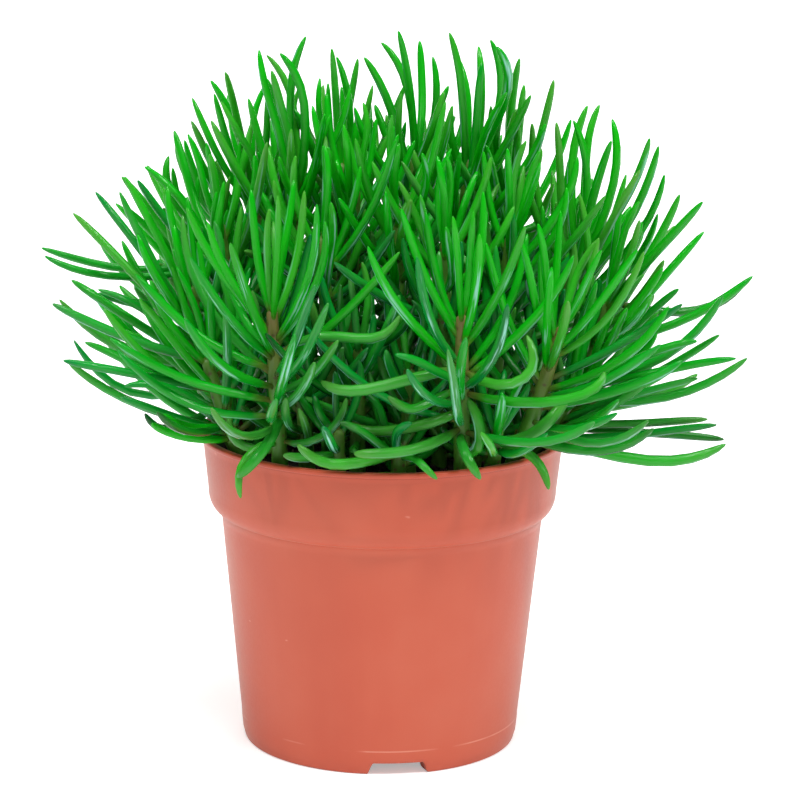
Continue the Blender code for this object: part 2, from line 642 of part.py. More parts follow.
def make_soil(root):
    """A turned plug that fills the pot to just below the lip, with a hole for each stem."""
    wall = WALL + SOIL_CLEARANCE
    profile = [
        (BODY_LOW_RADIUS - wall + 0.2 * MM, FLOOR_LIFT + WALL + SOIL_CLEARANCE),
        (BODY_TOP_RADIUS - wall, BODY_TOP_HEIGHT + 0.2 * MM),
        (COLLAR_LOW_RADIUS - wall, COLLAR_LOW_HEIGHT + 0.6 * MM),
        (COLLAR_LOW_RADIUS - wall + 0.6 * MM, SOIL_HEIGHT - 0.8 * MM),
        (COLLAR_LOW_RADIUS - wall - 2.0 * MM, SOIL_HEIGHT),
    ]
    angles = np.arange(SOIL_COLUMNS) * 2 * math.pi / SOIL_COLUMNS
    circle = np.stack([np.cos(angles), np.sin(angles), np.zeros(SOIL_COLUMNS)], axis=1)
    rings = np.concatenate([circle * across + UP * height for across, height in profile])
    faces = [tuple(range(SOIL_COLUMNS))[::-1]]
    for ring in range(len(profile) - 1):
        for column in range(SOIL_COLUMNS):
            low, high = ring * SOIL_COLUMNS, (ring + 1) * SOIL_COLUMNS
            after = (column + 1) % SOIL_COLUMNS
            faces.append((low + column, low + after, high + after, high + column))
    top = (len(profile) - 1) * SOIL_COLUMNS
    faces.append(tuple(range(top, top + SOIL_COLUMNS)))
    soil = mesh_object("soil", rings, faces, root)
    dibber = make_dibber(root)
    holes = soil.modifiers.new("stem holes", "BOOLEAN")
    holes.operation = "DIFFERENCE"
    holes.object = dibber
    soil.data.materials.append(material("potting soil", SOIL_COLOUR, 0.95))
    finish_round(soil, 35)


def make_dibber(root):
    """One upright prism for each stem, which makes its hole in the soil."""
    work = bmesh.new()
    depth = STEM_DEPTH + SOIL_CLEARANCE
    for stem in STEMS:
        made = bmesh.ops.create_cone(
            work, cap_ends=True, segments=STEM_SIDES, radius1=HOLE_RADIUS, radius2=HOLE_RADIUS,
            depth=2 * depth,
        )
        bmesh.ops.translate(work, verts=made["verts"], vec=(stem[1] * MM, stem[2] * MM, SOIL_HEIGHT))
    mesh = bpy.data.meshes.new("stem_dibber")
    work.to_mesh(mesh)
    work.free()
    dibber = bpy.data.objects.new("stem_dibber", mesh)
    root.objects.link(dibber)
    dibber.hide_render = True
    dibber.display_type = "WIRE"
    return dibber


def main():
    for old in list(bpy.data.objects):
        bpy.data.objects.remove(old)
    root = bpy.context.scene.collection
    make_pot(root)
    make_soil(root)
    for stem, leaves in zip(STEMS, plan_leaves()):
        make_leafy_stem(stem, leaves, root)


main()
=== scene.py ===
import math
import random
from functools import partial

import bpy
import numpy as np
from mathutils import Matrix, Vector


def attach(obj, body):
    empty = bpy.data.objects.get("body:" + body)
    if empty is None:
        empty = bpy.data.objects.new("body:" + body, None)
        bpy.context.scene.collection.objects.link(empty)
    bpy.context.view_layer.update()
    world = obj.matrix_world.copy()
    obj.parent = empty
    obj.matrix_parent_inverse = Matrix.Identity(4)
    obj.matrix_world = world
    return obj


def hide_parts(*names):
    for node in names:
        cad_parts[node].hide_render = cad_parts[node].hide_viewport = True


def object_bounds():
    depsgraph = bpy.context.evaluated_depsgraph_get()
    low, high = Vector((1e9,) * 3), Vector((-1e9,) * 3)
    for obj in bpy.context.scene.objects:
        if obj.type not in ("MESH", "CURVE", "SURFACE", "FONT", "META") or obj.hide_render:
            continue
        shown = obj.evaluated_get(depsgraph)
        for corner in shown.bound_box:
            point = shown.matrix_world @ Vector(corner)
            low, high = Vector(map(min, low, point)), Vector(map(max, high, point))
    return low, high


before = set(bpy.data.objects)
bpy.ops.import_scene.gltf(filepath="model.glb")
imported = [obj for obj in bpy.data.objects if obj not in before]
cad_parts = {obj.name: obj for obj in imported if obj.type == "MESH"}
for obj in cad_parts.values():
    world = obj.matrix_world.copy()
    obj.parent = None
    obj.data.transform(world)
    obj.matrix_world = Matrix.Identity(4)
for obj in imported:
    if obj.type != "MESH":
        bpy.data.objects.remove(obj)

cad_low, cad_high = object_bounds()

# The pot
# A nursery pot pressed from one thin sheet of terracotta-coloured plastic, with a narrow
# rolled lip, a collar that steps out, a tapered body and a foot ring with three notches.
# It was pulled from its mould, which left it satin, with faint flow marks and scuffs.

MM = 0.001
RIM_RADIUS = 60.0 * MM
RIM_HEIGHT = 103.0 * MM
LIP_HEIGHT = 1.6 * MM
LIP_ROUND = 0.6 * MM
COLLAR_TOP_RADIUS = 58.7 * MM
COLLAR_LOW_RADIUS = 56.9 * MM
COLLAR_LOW_HEIGHT = 83.9 * MM
BODY_TOP_RADIUS = 52.5 * MM
BODY_TOP_HEIGHT = 75.5 * MM
BODY_LOW_RADIUS = 45.1 * MM
BODY_LOW_HEIGHT = 3.0 * MM
MOULD_LINE_HEIGHT = 8.0 * MM
MOULD_LINE_STEP = 0.14 * MM
FOOT_RADIUS = 43.9 * MM
FOOT_INNER_RADIUS = 39.0 * MM
HUB_RADIUS = 12.0 * MM
FLOOR_LIFT = 4.0 * MM
WALL = 1.0 * MM
NOTCH_ANGLES = (-82.0, 38.0, 158.0)
NOTCH_LOW_WIDTH = 20.0 * MM
NOTCH_TOP_WIDTH = 15.6 * MM
POT_COLUMNS = 180
NOTCH_COLUMNS = 12
DRAIN_HOLES = 6
DRAIN_SIDES = 28
DRAIN_RADIUS = 3.5 * MM
DRAIN_CIRCLE = 28.0 * MM
MOULD_LINE_WIDTH = 0.25 * MM
# Painted shadow: a thin dark band just under the lip, where the lip's overhang casts its shadow
LIP_SHADOW_HEIGHT = 101.1 * MM
LIP_SHADOW_WIDTH = 0.30 * MM
LIP_SHADOW_DARKNESS = 0.6
TERRACOTTA = (0.552, 0.091, 0.040)
TERRACOTTA_DEEP = (0.522, 0.077, 0.033)
TERRACOTTA_CHALKY = (0.568, 0.109, 0.053)
TERRACOTTA_SHADE = (0.270, 0.040, 0.020)
# Painted shade: a darker, deeper orange that the collar takes towards the lip, standing in for the shade of
# the leaves above
TERRACOTTA_PAINTED_SHADE = (0.450, 0.044, 0.008)
COLLAR_PAINTED_SHADE = 0.50
SCUFF = (0.720, 0.280, 0.190)
FLOW_MARKS = 0.10
POT_ROUGHNESS = (0.34, 0.50)


def arc(centre, radius, start, end, steps):
    """A circle's arc: centre + radius (cos a, sin a), with a in degrees from start to end."""
    turn = np.radians(np.linspace(start, end, steps))[:, None]
    return np.array(centre) + radius * np.concatenate([np.cos(turn), np.sin(turn)], axis=1)


def line(start, end, steps):
    """Points spaced evenly from start to end, without the last."""
    share = np.linspace(0, 1, steps, endpoint=False)[:, None]
    return np.array(start) * (1 - share) + np.array(end) * share


def pot_profile():
    """Radius and height of the pot's skin, up the outside and then down the inside."""
    hub, inner, lift, floor = HUB_RADIUS, FOOT_INNER_RADIUS, FLOOR_LIFT, FLOOR_LIFT + WALL
    lip_low = RIM_HEIGHT - LIP_HEIGHT
    collar = (COLLAR_LOW_RADIUS + 0.02 * MM, COLLAR_LOW_HEIGHT + 0.6 * MM)
    shoulder = COLLAR_LOW_RADIUS - BODY_TOP_RADIUS
    drop = COLLAR_LOW_HEIGHT - BODY_TOP_HEIGHT
    body = line((BODY_LOW_RADIUS, BODY_LOW_HEIGHT), (BODY_TOP_RADIUS, BODY_TOP_HEIGHT), 40)
    body[:, 0] += MOULD_LINE_STEP * (1 / (1 + np.exp((body[:, 1] - MOULD_LINE_HEIGHT) / (0.4 * MM))))
    turn = np.linspace(0.06, 1, 12) * np.pi / 2
    bulge = [BODY_TOP_RADIUS + shoulder * np.sin(turn), COLLAR_LOW_HEIGHT - 0.82 * drop * np.cos(turn)]
    outside = [
        [(0.3 * hub, 0.0), (hub - 0.4 * MM, 0.0), (hub, 0.25 * MM)],
        [(hub + 1.2 * MM, lift - 0.4 * MM), (hub + 1.8 * MM, lift)],
        line((hub + 2.4 * MM, lift), (inner - 2.4 * MM, lift), 6),
        [(inner - 1.8 * MM, lift), (inner - 1.2 * MM, lift - 0.4 * MM)],
        [(inner - 0.1 * MM, 0.3 * MM), (inner + 0.3 * MM, 0.0)],
        [(FOOT_RADIUS - 0.8 * MM, 0.0)],
        arc((FOOT_RADIUS - 0.1 * MM, 0.8 * MM), 0.8 * MM, -90, -5, 6),
        body,
        np.stack(bulge, axis=1),
        line(collar, (COLLAR_TOP_RADIUS, lip_low - 0.4 * MM), 8),
        [(COLLAR_TOP_RADIUS, lip_low - 0.3 * MM), (COLLAR_TOP_RADIUS + 0.3 * MM, lip_low)],
        arc((RIM_RADIUS - LIP_ROUND, lip_low + LIP_ROUND), LIP_ROUND, -90, 0, 5),
        arc((RIM_RADIUS - LIP_ROUND, RIM_HEIGHT - LIP_ROUND), LIP_ROUND, 0, 90, 5),
    ]
    mouth = (COLLAR_TOP_RADIUS - WALL, RIM_HEIGHT - 1.0 * MM)
    collar_low = (COLLAR_LOW_RADIUS - WALL, COLLAR_LOW_HEIGHT + 0.4 * MM)
    body_top = (BODY_TOP_RADIUS - WALL, BODY_TOP_HEIGHT + 0.6 * MM)
    body_low = (BODY_LOW_RADIUS - WALL, BODY_LOW_HEIGHT)
    inside = [
        arc((COLLAR_TOP_RADIUS - WALL + 0.4 * MM, RIM_HEIGHT - 0.4 * MM), 0.4 * MM, 90, 180, 4),
        line(mouth, collar_low, 8),
        line(collar_low, body_top, 4),
        line(body_top, body_low, 6),
        [body_low, (FOOT_RADIUS - 0.6 * WALL, WALL), (inner + 1.0 * MM, WALL), (inner - 0.6 * MM, floor)],
        line((inner - 1.4 * MM, floor), (hub + 1.4 * MM, floor), 5),
        [(hub + 0.6 * MM, floor), (hub - 1.0 * MM, WALL), (0.3 * hub, WALL)],
    ]
    return np.concatenate(outside), np.concatenate(inside)


def grid_faces(columns, rows):
    """Quads of a grid that closes on itself round its columns."""
    here = np.arange(columns)[:, None] * rows + np.arange(rows - 1)
    there = np.roll(np.arange(columns), -1)[:, None] * rows + np.arange(rows - 1)
    return np.stack([here, there, there + 1, here + 1], axis=2).reshape(-1, 4)


def pole_faces(ring, pole, outward):
    """Triangles from a closed ring of point numbers to one pole."""
    after = np.roll(ring, -1)
    middle = np.full(len(ring), pole)
    order = [middle, ring, after] if outward else [middle, after, ring]
    return np.stack(order, axis=1)


def turned_skin(across, height, angle, low, high):
    """Points (across cos a, across sin a, height), with poles at heights low and high, and their faces."""
    columns, rows = height.shape
    x, y = across * np.cos(angle)[:, None], across * np.sin(angle)[:, None]
    points = np.stack([x, y, height], axis=2).reshape(-1, 3)
    first = np.arange(columns) * rows
    faces = [
        grid_faces(columns, rows),
        pole_faces(first, columns * rows, False),
        pole_faces(first + rows - 1, columns * rows + 1, True),
    ]
    return np.concatenate([points, [[0, 0, low], [0, 0, high]]]), faces


def make_piece(name, points, faces):
    """A mesh object at the origin, shaded smooth, from points and a list of face arrays."""
    mesh = bpy.data.meshes.new(name)
    mesh.from_pydata(points, [], [face for group in faces for face in group.tolist()])
    mesh.shade_smooth()
    piece = bpy.data.objects.new(name, mesh)
    bpy.context.scene.collection.objects.link(piece)
    return piece


def angle_from(angle, degrees):
    """How far round an angle in radians lies from one in degrees."""
    return np.abs((angle - math.radians(degrees) + np.pi) % (2 * np.pi) - np.pi)


def notch_lift(angle):
    """How high the foot is raised: the floor's height in a notch, with an S-curve at each side."""
    lift = np.zeros_like(angle)
    slant = (NOTCH_LOW_WIDTH - NOTCH_TOP_WIDTH) / 2
    for degrees in NOTCH_ANGLES:
        share = np.clip((NOTCH_LOW_WIDTH / 2 - angle_from(angle, degrees) * FOOT_RADIUS) / slant, 0, 1)
        lift = np.maximum(lift, FLOOR_LIFT * share * share * (3 - 2 * share))
    return lift


def pot_angles():
    """Even columns round the pot, with closer ones at the sides of each notch."""
    even = np.arange(POT_COLUMNS) * 2 * np.pi / POT_COLUMNS
    low, top = NOTCH_LOW_WIDTH / 2 / FOOT_RADIUS, NOTCH_TOP_WIDTH / 2 / FOOT_RADIUS
    close = np.linspace(top - 0.01, low + 0.01, NOTCH_COLUMNS)
    for degrees in NOTCH_ANGLES:
        away = angle_from(even, degrees)
        even = even[(away < top - 0.02) | (away > low + 0.02)]
        even = np.concatenate([even, math.radians(degrees) + close, math.radians(degrees) - close])
    return np.sort(even % (2 * np.pi))


def make_pot():
    """The profile turned about Z. In the foot, a point lies no lower than the notch's lift."""
    outside, inside = pot_profile()
    profile = np.concatenate([outside, inside])
    is_inside = np.arange(len(profile)) >= len(outside)
    angle = pot_angles()
    lift = notch_lift(angle)[:, None]
    in_foot = (profile[:, 0] > FOOT_INNER_RADIUS - 0.5 * WALL) & (profile[:, 1] < FLOOR_LIFT + WALL)
    floor = np.where(lift > 0, lift + np.where(is_inside, WALL, 0.0), 0.0)
    height = np.where(in_foot, np.maximum(profile[:, 1], floor), profile[:, 1])
    return make_piece("nursery_pot", *turned_skin(profile[:, 0], height, angle, 0.0, WALL))


def cut_drain_holes(pot):
    """Round holes through the pot's floor, on a circle round its hub."""
    around = 2 * np.pi * np.arange(DRAIN_SIDES) / DRAIN_SIDES
    side = np.arange(DRAIN_SIDES)
    after = np.roll(side, -1)
    skins, faces = [], []
    for hole in range(DRAIN_HOLES):
        turn = (hole + 0.5) * 2 * np.pi / DRAIN_HOLES
        x = DRAIN_CIRCLE * math.cos(turn) + DRAIN_RADIUS * np.cos(around)
        y = DRAIN_CIRCLE * math.sin(turn) + DRAIN_RADIUS * np.sin(around)
        for z in (FLOOR_LIFT - 2 * MM, FLOOR_LIFT + WALL + 2 * MM):
            skins.append(np.stack([x, y, np.full(DRAIN_SIDES, z)], axis=1))
        drill = [
            np.stack([side, after, after + DRAIN_SIDES, side + DRAIN_SIDES], axis=1),
            side[None, ::-1],
            side[None] + DRAIN_SIDES,
        ]
        faces += [face + 2 * DRAIN_SIDES * hole for face in drill]
    drill = make_piece("drain_drill", np.concatenate(skins), faces)
    cut = pot.modifiers.new("drain holes", "BOOLEAN")
    cut.operation = "DIFFERENCE"
    cut.object = drill
    graph = bpy.context.evaluated_depsgraph_get()
    mesh = bpy.data.meshes.new_from_object(pot.evaluated_get(graph))
    pot.modifiers.clear()
    pot.data = mesh
    bpy.data.objects.remove(drill)


def fill(node, inputs):
    """Link each of a node's inputs to a socket, or set its number, vector or opaque colour."""
    for place, value in inputs.items():
        target = node.inputs[place]
        if isinstance(value, bpy.types.NodeSocket):
            node.id_data.links.new(value, target)
        else:
            target.default_value = (*value, 1.0) if target.type == "RGBA" else value


def source(tree, kind, output, inputs=None, **settings):
    """An output of a new node in a tree, with its inputs and settings."""
    node = tree.nodes.new("ShaderNode" + kind)
    for name, value in settings.items():
        setattr(node, name, value)
    fill(node, inputs or {})
    return node.outputs[output]


def step(kind, output, inputs, **settings):
    """The same, in the tree of the first socket among the inputs."""
    tree = next(value.id_data for value in inputs.values() if isinstance(value, bpy.types.NodeSocket))
    return source(tree, kind, output, inputs, **settings)


def stretched(place, scale, turn=(0.0, 0.0, 0.0)):
    """A place turned and scaled along its axes."""
    return step("Mapping", "Vector", {"Vector": place, "Scale": scale, "Rotation": turn})


def noise(place, scale, detail):
    """Soft random values from 0 to 1 over a place."""
    return step("TexNoise", "Fac", {"Vector": place, "Scale": scale, "Detail": detail})


def coordinate(place, name):
    """One of a place's X, Y and Z."""
    return step("SeparateXYZ", name, {"Vector": place})


def compute(operation, *values):
    """One sum on sockets or numbers."""
    return step("Math", "Value", dict(enumerate(values)), operation=operation)


def times(first, second):
    """The product of two sockets or numbers."""
    return compute("MULTIPLY", first, second)


def remap(value, low, high, start=0.0, end=1.0):
    """A straight line from start at low to end at high, level past both."""
    inputs = {"Value": value, "From Min": low, "From Max": high, "To Min": start, "To Max": end}
    return step("MapRange", "Result", inputs)


def ramp(value, *stops):
    """Colours between stops, each a place and a colour."""
    colour = step("ValToRGB", "Color", {"Fac": value})
    elements = colour.node.color_ramp.elements
    while len(elements) < len(stops):
        elements.new(0.5)
    for element, (place, plain) in zip(elements, stops):
        element.position, element.color = place, (*plain, 1.0)
    return colour


def mask(value, *stops):
    """Greys between stops, each a place and a level."""
    return ramp(value, *[(place, (level, level, level)) for place, level in stops])


def blend(share, first, second, kind="MIX"):
    """A mix of two colours by a share."""
    return step("Mix", 2, {0: share, 6: first, 7: second}, data_type="RGBA", blend_type=kind)


def bump(height, strength, distance):
    """Normals tilted by a height."""
    return step("Bump", "Normal", {"Height": height, "Strength": strength, "Distance": distance})


def new_material(name):
    """A material that has nodes."""
    material = bpy.data.materials.new(name)
    material.use_nodes = True
    return material


def coat(material, inputs):
    """The material, once its shader has its inputs."""
    fill(material.node_tree.nodes["Principled BSDF"], inputs)
    return material


def terracotta_plastic():
    """Terracotta plastic with soft clouds, faint flow marks, small pale scuffs, a painted shadow line under
    the lip and painted shade that darkens the collar towards the lip.
    """
    material = new_material("terracotta plastic")
    place = source(material.node_tree, "TexCoord", "Object")
    clouds = noise(place, 22.0, 3.0)
    cloudy = ramp(clouds, (0.30, TERRACOTTA_DEEP), (0.52, TERRACOTTA), (0.75, TERRACOTTA_CHALKY))
    flow = noise(stretched(place, (150.0, 150.0, 9.0)), 1.0, 2.0)
    marks = ramp(flow, (0.35, TERRACOTTA_DEEP), (0.65, TERRACOTTA_CHALKY))
    streaked = blend(FLOW_MARKS, cloudy, marks)
    scuffs = noise(stretched(place, (130.0, 130.0, 330.0), (0.5, 0.9, 0.2)), 1.0, 1.0)
    scuffed = blend(mask(scuffs, (0.785, 0.0), (0.83, 0.8)), streaked, SCUFF)
    height = coordinate(place, "Z")
    ring = compute("COMPARE", height, MOULD_LINE_HEIGHT, MOULD_LINE_WIDTH)
    worn = mask(noise(place, 75.0, 1.0), (0.42, 0.0), (0.60, 0.6))
    lined = blend(times(ring, worn), scuffed, SCUFF)
    # Painted shadow: a thin dark line just under the lip
    lip_shadow = compute("COMPARE", height, LIP_SHADOW_HEIGHT, LIP_SHADOW_WIDTH)
    lip_shadowed = blend(times(lip_shadow, LIP_SHADOW_DARKNESS), lined, TERRACOTTA_SHADE)
    # Painted shade from the leaves above: the pot darkens towards the lip, from nothing at the body's top
    # to half at the rim
    collar = remap(height, BODY_TOP_HEIGHT, RIM_HEIGHT, 0.0, COLLAR_PAINTED_SHADE)
    grain = noise(place, 900.0, 2.0)
    return coat(material, {
        "Base Color": blend(collar, lip_shadowed, TERRACOTTA_PAINTED_SHADE),
        "Roughness": remap(grain, 0.0, 1.0, *POT_ROUGHNESS),
        "Normal": bump(grain, 0.06, 0.3 * MM),
        "Sheen Weight": 0.42,
        "Sheen Roughness": 0.3,
        "Sheen Tint": (1.0, 0.85, 0.8),
    })


pot = make_pot()
cut_drain_holes(pot)
pot.data.materials.append(terracotta_plastic())
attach(pot, "root")
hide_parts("pot")

# The soil
# Damp potting soil that fills the pot to a little below its lip: dark peat crumbs, with a few
# bits of bark and pale grit. It was pressed in by hand, so its top is uneven.

SOIL_HEIGHT = 95.5 * MM
SOIL_CLEARANCE = 0.4 * MM
SOIL_COLUMNS = 150
SOIL_RINGS = 56
SOIL_ROUGHNESS = 1.3 * MM
WAVES = 16
LONGEST_WAVE = 40.0 * MM
WAVE_SHORTER = 0.78
WAVE_LOWER = 0.86
SOIL_SEED = 17
CRUMBS = 900
CRUMB_SIZE = 0.5 * MM
PEAT = (0.020, 0.012, 0.008)
BARK = (0.075, 0.038, 0.022)
GRIT = (0.300, 0.220, 0.180)


def waves(x, y, rng):
    """A sum of sine waves in random directions, each shorter and lower than the last."""
    total = np.zeros_like(x)
    for rank in range(WAVES):
        turn, phase = rng.uniform(0, 2 * np.pi, 2)
        length = LONGEST_WAVE * WAVE_SHORTER ** rank
        along = x * np.cos(turn) + y * np.sin(turn)
        total += WAVE_LOWER ** rank * np.sin(along * 2 * np.pi / length + phase)
    return total / WAVES ** 0.5


def icosahedron():
    """Twelve corners at distance one, and as faces the triples of corners that lie one edge apart."""
    golden = (1 + 5 ** 0.5) / 2
    signs = [(a, b) for a in (-1, 1) for b in (-1, 1)]
    corners = [(a, b * golden, 0) for a, b in signs]
    corners += [(0, a, b * golden) for a, b in signs]
    corners += [(b * golden, 0, a) for a, b in signs]
    ball = np.array(corners)
    near = np.abs(np.linalg.norm(ball[:, None] - ball, axis=2) - 2) < 1e-6
    triples = [
        (a, b, c) for a in range(12) for b in range(a + 1, 12) for c in range(b + 1, 12)
        if near[a, b] and near[b, c] and near[a, c]
    ]
    triples = np.array(triples)
    outward = np.linalg.det(ball[triples]) > 0
    return ball / np.hypot(1, golden), np.where(outward[:, None], triples, triples[:, ::-1])


def crumb_points(rng, ball):
    """The ball's corners for each crumb, at random sizes, turns and places on the soil."""
    size = CRUMB_SIZE * rng.lognormal(0.15, 0.5, (CRUMBS, 1, 1)) * rng.uniform(0.5, 1.4, (CRUMBS, 1, 3))
    turn, _ = np.linalg.qr(rng.normal(size=(CRUMBS, 3, 3)))
    rough = ball * rng.uniform(0.75, 1.2, (CRUMBS, 12, 1)) * size
    shapes = np.einsum("nij,nkj->nki", turn * np.linalg.det(turn)[:, None, None], rough)
    across = (COLLAR_LOW_RADIUS - 3.5 * MM) * np.sqrt(rng.uniform(0, 1, CRUMBS))
    angle = rng.uniform(0, 2 * np.pi, CRUMBS)
    height = np.full(CRUMBS, SOIL_HEIGHT + 0.1 * MM)
    centre = np.stack([across * np.cos(angle), across * np.sin(angle), height], axis=1)
    return (shapes + centre[:, None]).reshape(-1, 3)


def make_soil():
    """A closed plug that follows the pot's wall, with a top of waves, and its crumbs."""
    rng = np.random.default_rng(SOIL_SEED)
    wall = WALL + SOIL_CLEARANCE
    side = np.array([
        (BODY_LOW_RADIUS - wall + 0.2 * MM, FLOOR_LIFT + WALL + SOIL_CLEARANCE),
        (BODY_TOP_RADIUS - wall, BODY_TOP_HEIGHT + 0.2 * MM),
        (COLLAR_LOW_RADIUS - wall, COLLAR_LOW_HEIGHT + 0.6 * MM),
        (COLLAR_LOW_RADIUS - wall + 0.5 * MM, SOIL_HEIGHT - 1.0 * MM),
    ])
    share = np.linspace(1, 0, SOIL_RINGS, endpoint=False)
    radius = np.concatenate([side[:, 0], (COLLAR_LOW_RADIUS - wall + 0.3 * MM) * share])
    height = np.concatenate([side[:, 1], np.full(SOIL_RINGS, SOIL_HEIGHT)])
    angle = np.arange(SOIL_COLUMNS) * 2 * np.pi / SOIL_COLUMNS
    x, y = radius * np.cos(angle)[:, None], radius * np.sin(angle)[:, None]
    rough = SOIL_ROUGHNESS * waves(x, y, rng)
    on_top = np.arange(len(radius)) >= len(side)
    z = np.where(on_top, height + np.minimum(rough, SOIL_ROUGHNESS) - 0.3 * MM, height)
    points, faces = turned_skin(radius, z, angle, side[0, 1], SOIL_HEIGHT)
    ball, triangles = icosahedron()
    crumbs = crumb_points(rng, ball)
    faces.append((len(points) + 12 * np.arange(CRUMBS)[:, None, None] + triangles).reshape(-1, 3))
    kind = np.concatenate([np.zeros(len(points)), np.repeat(rng.uniform(0.05, 1, CRUMBS), 12)])
    soil = make_piece("potting_soil", np.concatenate([points, crumbs]), faces)
    soil.data.attributes.new("crumb", "FLOAT", "POINT").data.foreach_set("value", kind)
    return soil


def damp_soil():
    """Nearly black peat, with each crumb's own tone from peat over bark to a few of grit."""
    material = new_material("potting soil")
    crumb = source(material.node_tree, "Attribute", "Fac", attribute_name="crumb")
    tone = ramp(crumb, (0.0, PEAT), (0.55, PEAT), (0.75, BARK), (0.90, BARK), (0.95, GRIT))
    fine = noise(source(material.node_tree, "TexCoord", "Object"), 700.0, 4.0)
    mottle = ramp(fine, (0.3, (0.35, 0.35, 0.35)), (0.7, (1.6, 1.5, 1.4)))
    return coat(material, {
        "Base Color": blend(1.0, tone, mottle, "MULTIPLY"),
        "Roughness": 0.85,
        "Normal": bump(fine, 0.6, 0.6 * MM),
    })


soil = make_soil()
soil.data.materials.append(damp_soil())
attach(soil, "root")
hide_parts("soil")

# The stems
# Fleshy stems, thick and green at the foot and pinkish brown where they bear leaves. Each grows
# from its own place in the soil and leans out over one bend, so that the tops make a dome.

STEM_DEPTH = 8.0 * MM
STEM_LOW_RADIUS = 2.7 * MM
STEM_TOP_RADIUS = 1.8 * MM
STEM_SIDES = 12
STEM_RINGS = 26
BUD_HEIGHT = 2.0 * MM
UP = np.array([0.0, 0.0, 1.0])

# Each stem in mm: name, foot x and y, top x, y and z, how far the foot's straight part leans
# to the top before it rises, length of the leafy part, leaves that the CAD solid has by rule,
# and the longest leaf
STEMS = (
    ("front_left", -32, -40, -35, -43, 150, 0.50, 36, 14, 56),
    ("front_middle", 25, -44, 24, -47, 150, 0.50, 40, 12, 54),
    ("front_right", 40, -30, 55, -40, 145, 0.60, 42, 14, 54),
    ("left", -46, -12, -62, -12, 151, 0.75, 44, 10, 56),
    ("left_low", -43, -25, -56, -28, 131, 0.60, 26, 7, 50),
    ("left_high", -37, 6, -54, 10, 168, 0.70, 42, 9, 52),
    ("left_back", -42, 24, -62, 34, 150, 0.75, 44, 12, 54),
    ("top_left", -24, 14, -31, 18, 184, 0.60, 36, 7, 46),
    ("top_far_left", -28, 31, -44, 36, 174, 0.60, 40, 9, 50),
    ("top_middle_left", -11, 26, -15, 34, 184, 0.60, 34, 10, 44),
    ("top_middle", 6, 24, 9, 32, 188, 0.60, 36, 8, 44),
    ("top_middle_right", 20, 20, 27, 24, 188, 0.60, 36, 8, 44),
    ("top_right", 32, 32, 42, 38, 176, 0.60, 38, 9, 46),
    ("right_high", 38, 8, 64, 8, 166, 0.75, 40, 8, 50),
    ("right", 47, -6, 72, -6, 150, 0.75, 42, 9, 54),
    ("right_low", 44, -17, 66, -20, 126, 0.45, 34, 9, 52),
    ("right_back", 43, 24, 64, 34, 150, 0.70, 44, 12, 54),
    ("middle_left", -16, -12, -20, -14, 168, 0.50, 34, 8, 50),
    ("middle", 4, -6, 4, -6, 176, 0.50, 34, 8, 50),
    ("middle_front", 18, -16, 19, -20, 168, 0.50, 34, 8, 50),
    ("middle_right", 33, -6, 40, -8, 168, 0.55, 34, 8, 50),
    ("middle_low", -8, -32, -8, -32, 136, 0.50, 30, 8, 44),
    ("middle_back", -12, 6, -10, 8, 180, 0.50, 34, 8, 48),
    ("inner_left", -24, -26, -26, -28, 128, 0.50, 24, 6, 42),
    ("inner_middle", 8, -31, 8, -32, 130, 0.50, 24, 6, 42),
    ("inner_right", 29, -20, 32, -22, 130, 0.50, 24, 6, 42),
    ("back_left", -22, 43, -34, 58, 162, 0.65, 50, 14, 54),
    ("back_middle", 3, 43, 4, 62, 168, 0.65, 52, 14, 54),
    ("back_right", 25, 41, 36, 58, 160, 0.65, 50, 14, 54),
    ("shoot_left", -14, -46, -14, -47, 113, 0.50, 9, 6, 34),
    ("shoot_middle", 5, -47, 5, -48, 109, 0.50, 9, 6, 34),
    ("shoot_right", 34, -38, 36, -41, 113, 0.50, 9, 6, 34),
    ("shoot_back_left", -10, 47, -14, 50, 118, 0.50, 14, 6, 40),
    ("shoot_back_right", 14, 46, 18, 50, 118, 0.50, 14, 6, 40),
)


def unit(vectors):
    """Each vector at length one."""
    return vectors / np.linalg.norm(vectors, axis=-1, keepdims=True)


def stem_line(stem, s):
    """Points and directions at fractions s of (1-s)^2 foot + 2s(1-s) middle + s^2 top."""
    _, foot_x, foot_y, top_x, top_y, top_z, lean = stem[:7]
    foot = np.array([foot_x, foot_y, SOIL_HEIGHT / MM]) * MM
    top = np.array([top_x, top_y, top_z]) * MM
    middle = foot + (top - foot) * np.array([lean, lean, 0.5])
    s = np.asarray(s, float)[..., None]
    points = (1 - s) ** 2 * foot + 2 * s * (1 - s) * middle + s ** 2 * top
    return points, unit((1 - s) * (middle - foot) + s * (top - middle))


def stem_radius(s):
    """Thick at the foot, thinner at the top: low - (low - top) s^2."""
    return STEM_LOW_RADIUS - (STEM_LOW_RADIUS - STEM_TOP_RADIUS) * np.asarray(s) ** 2


# The leaves
# Solid, finger-like leaves with a waxy skin, set round each stem at the golden angle. The
# young ones stand up in a tuft at the top, and the old ones spread, sag and turn up at the tip.

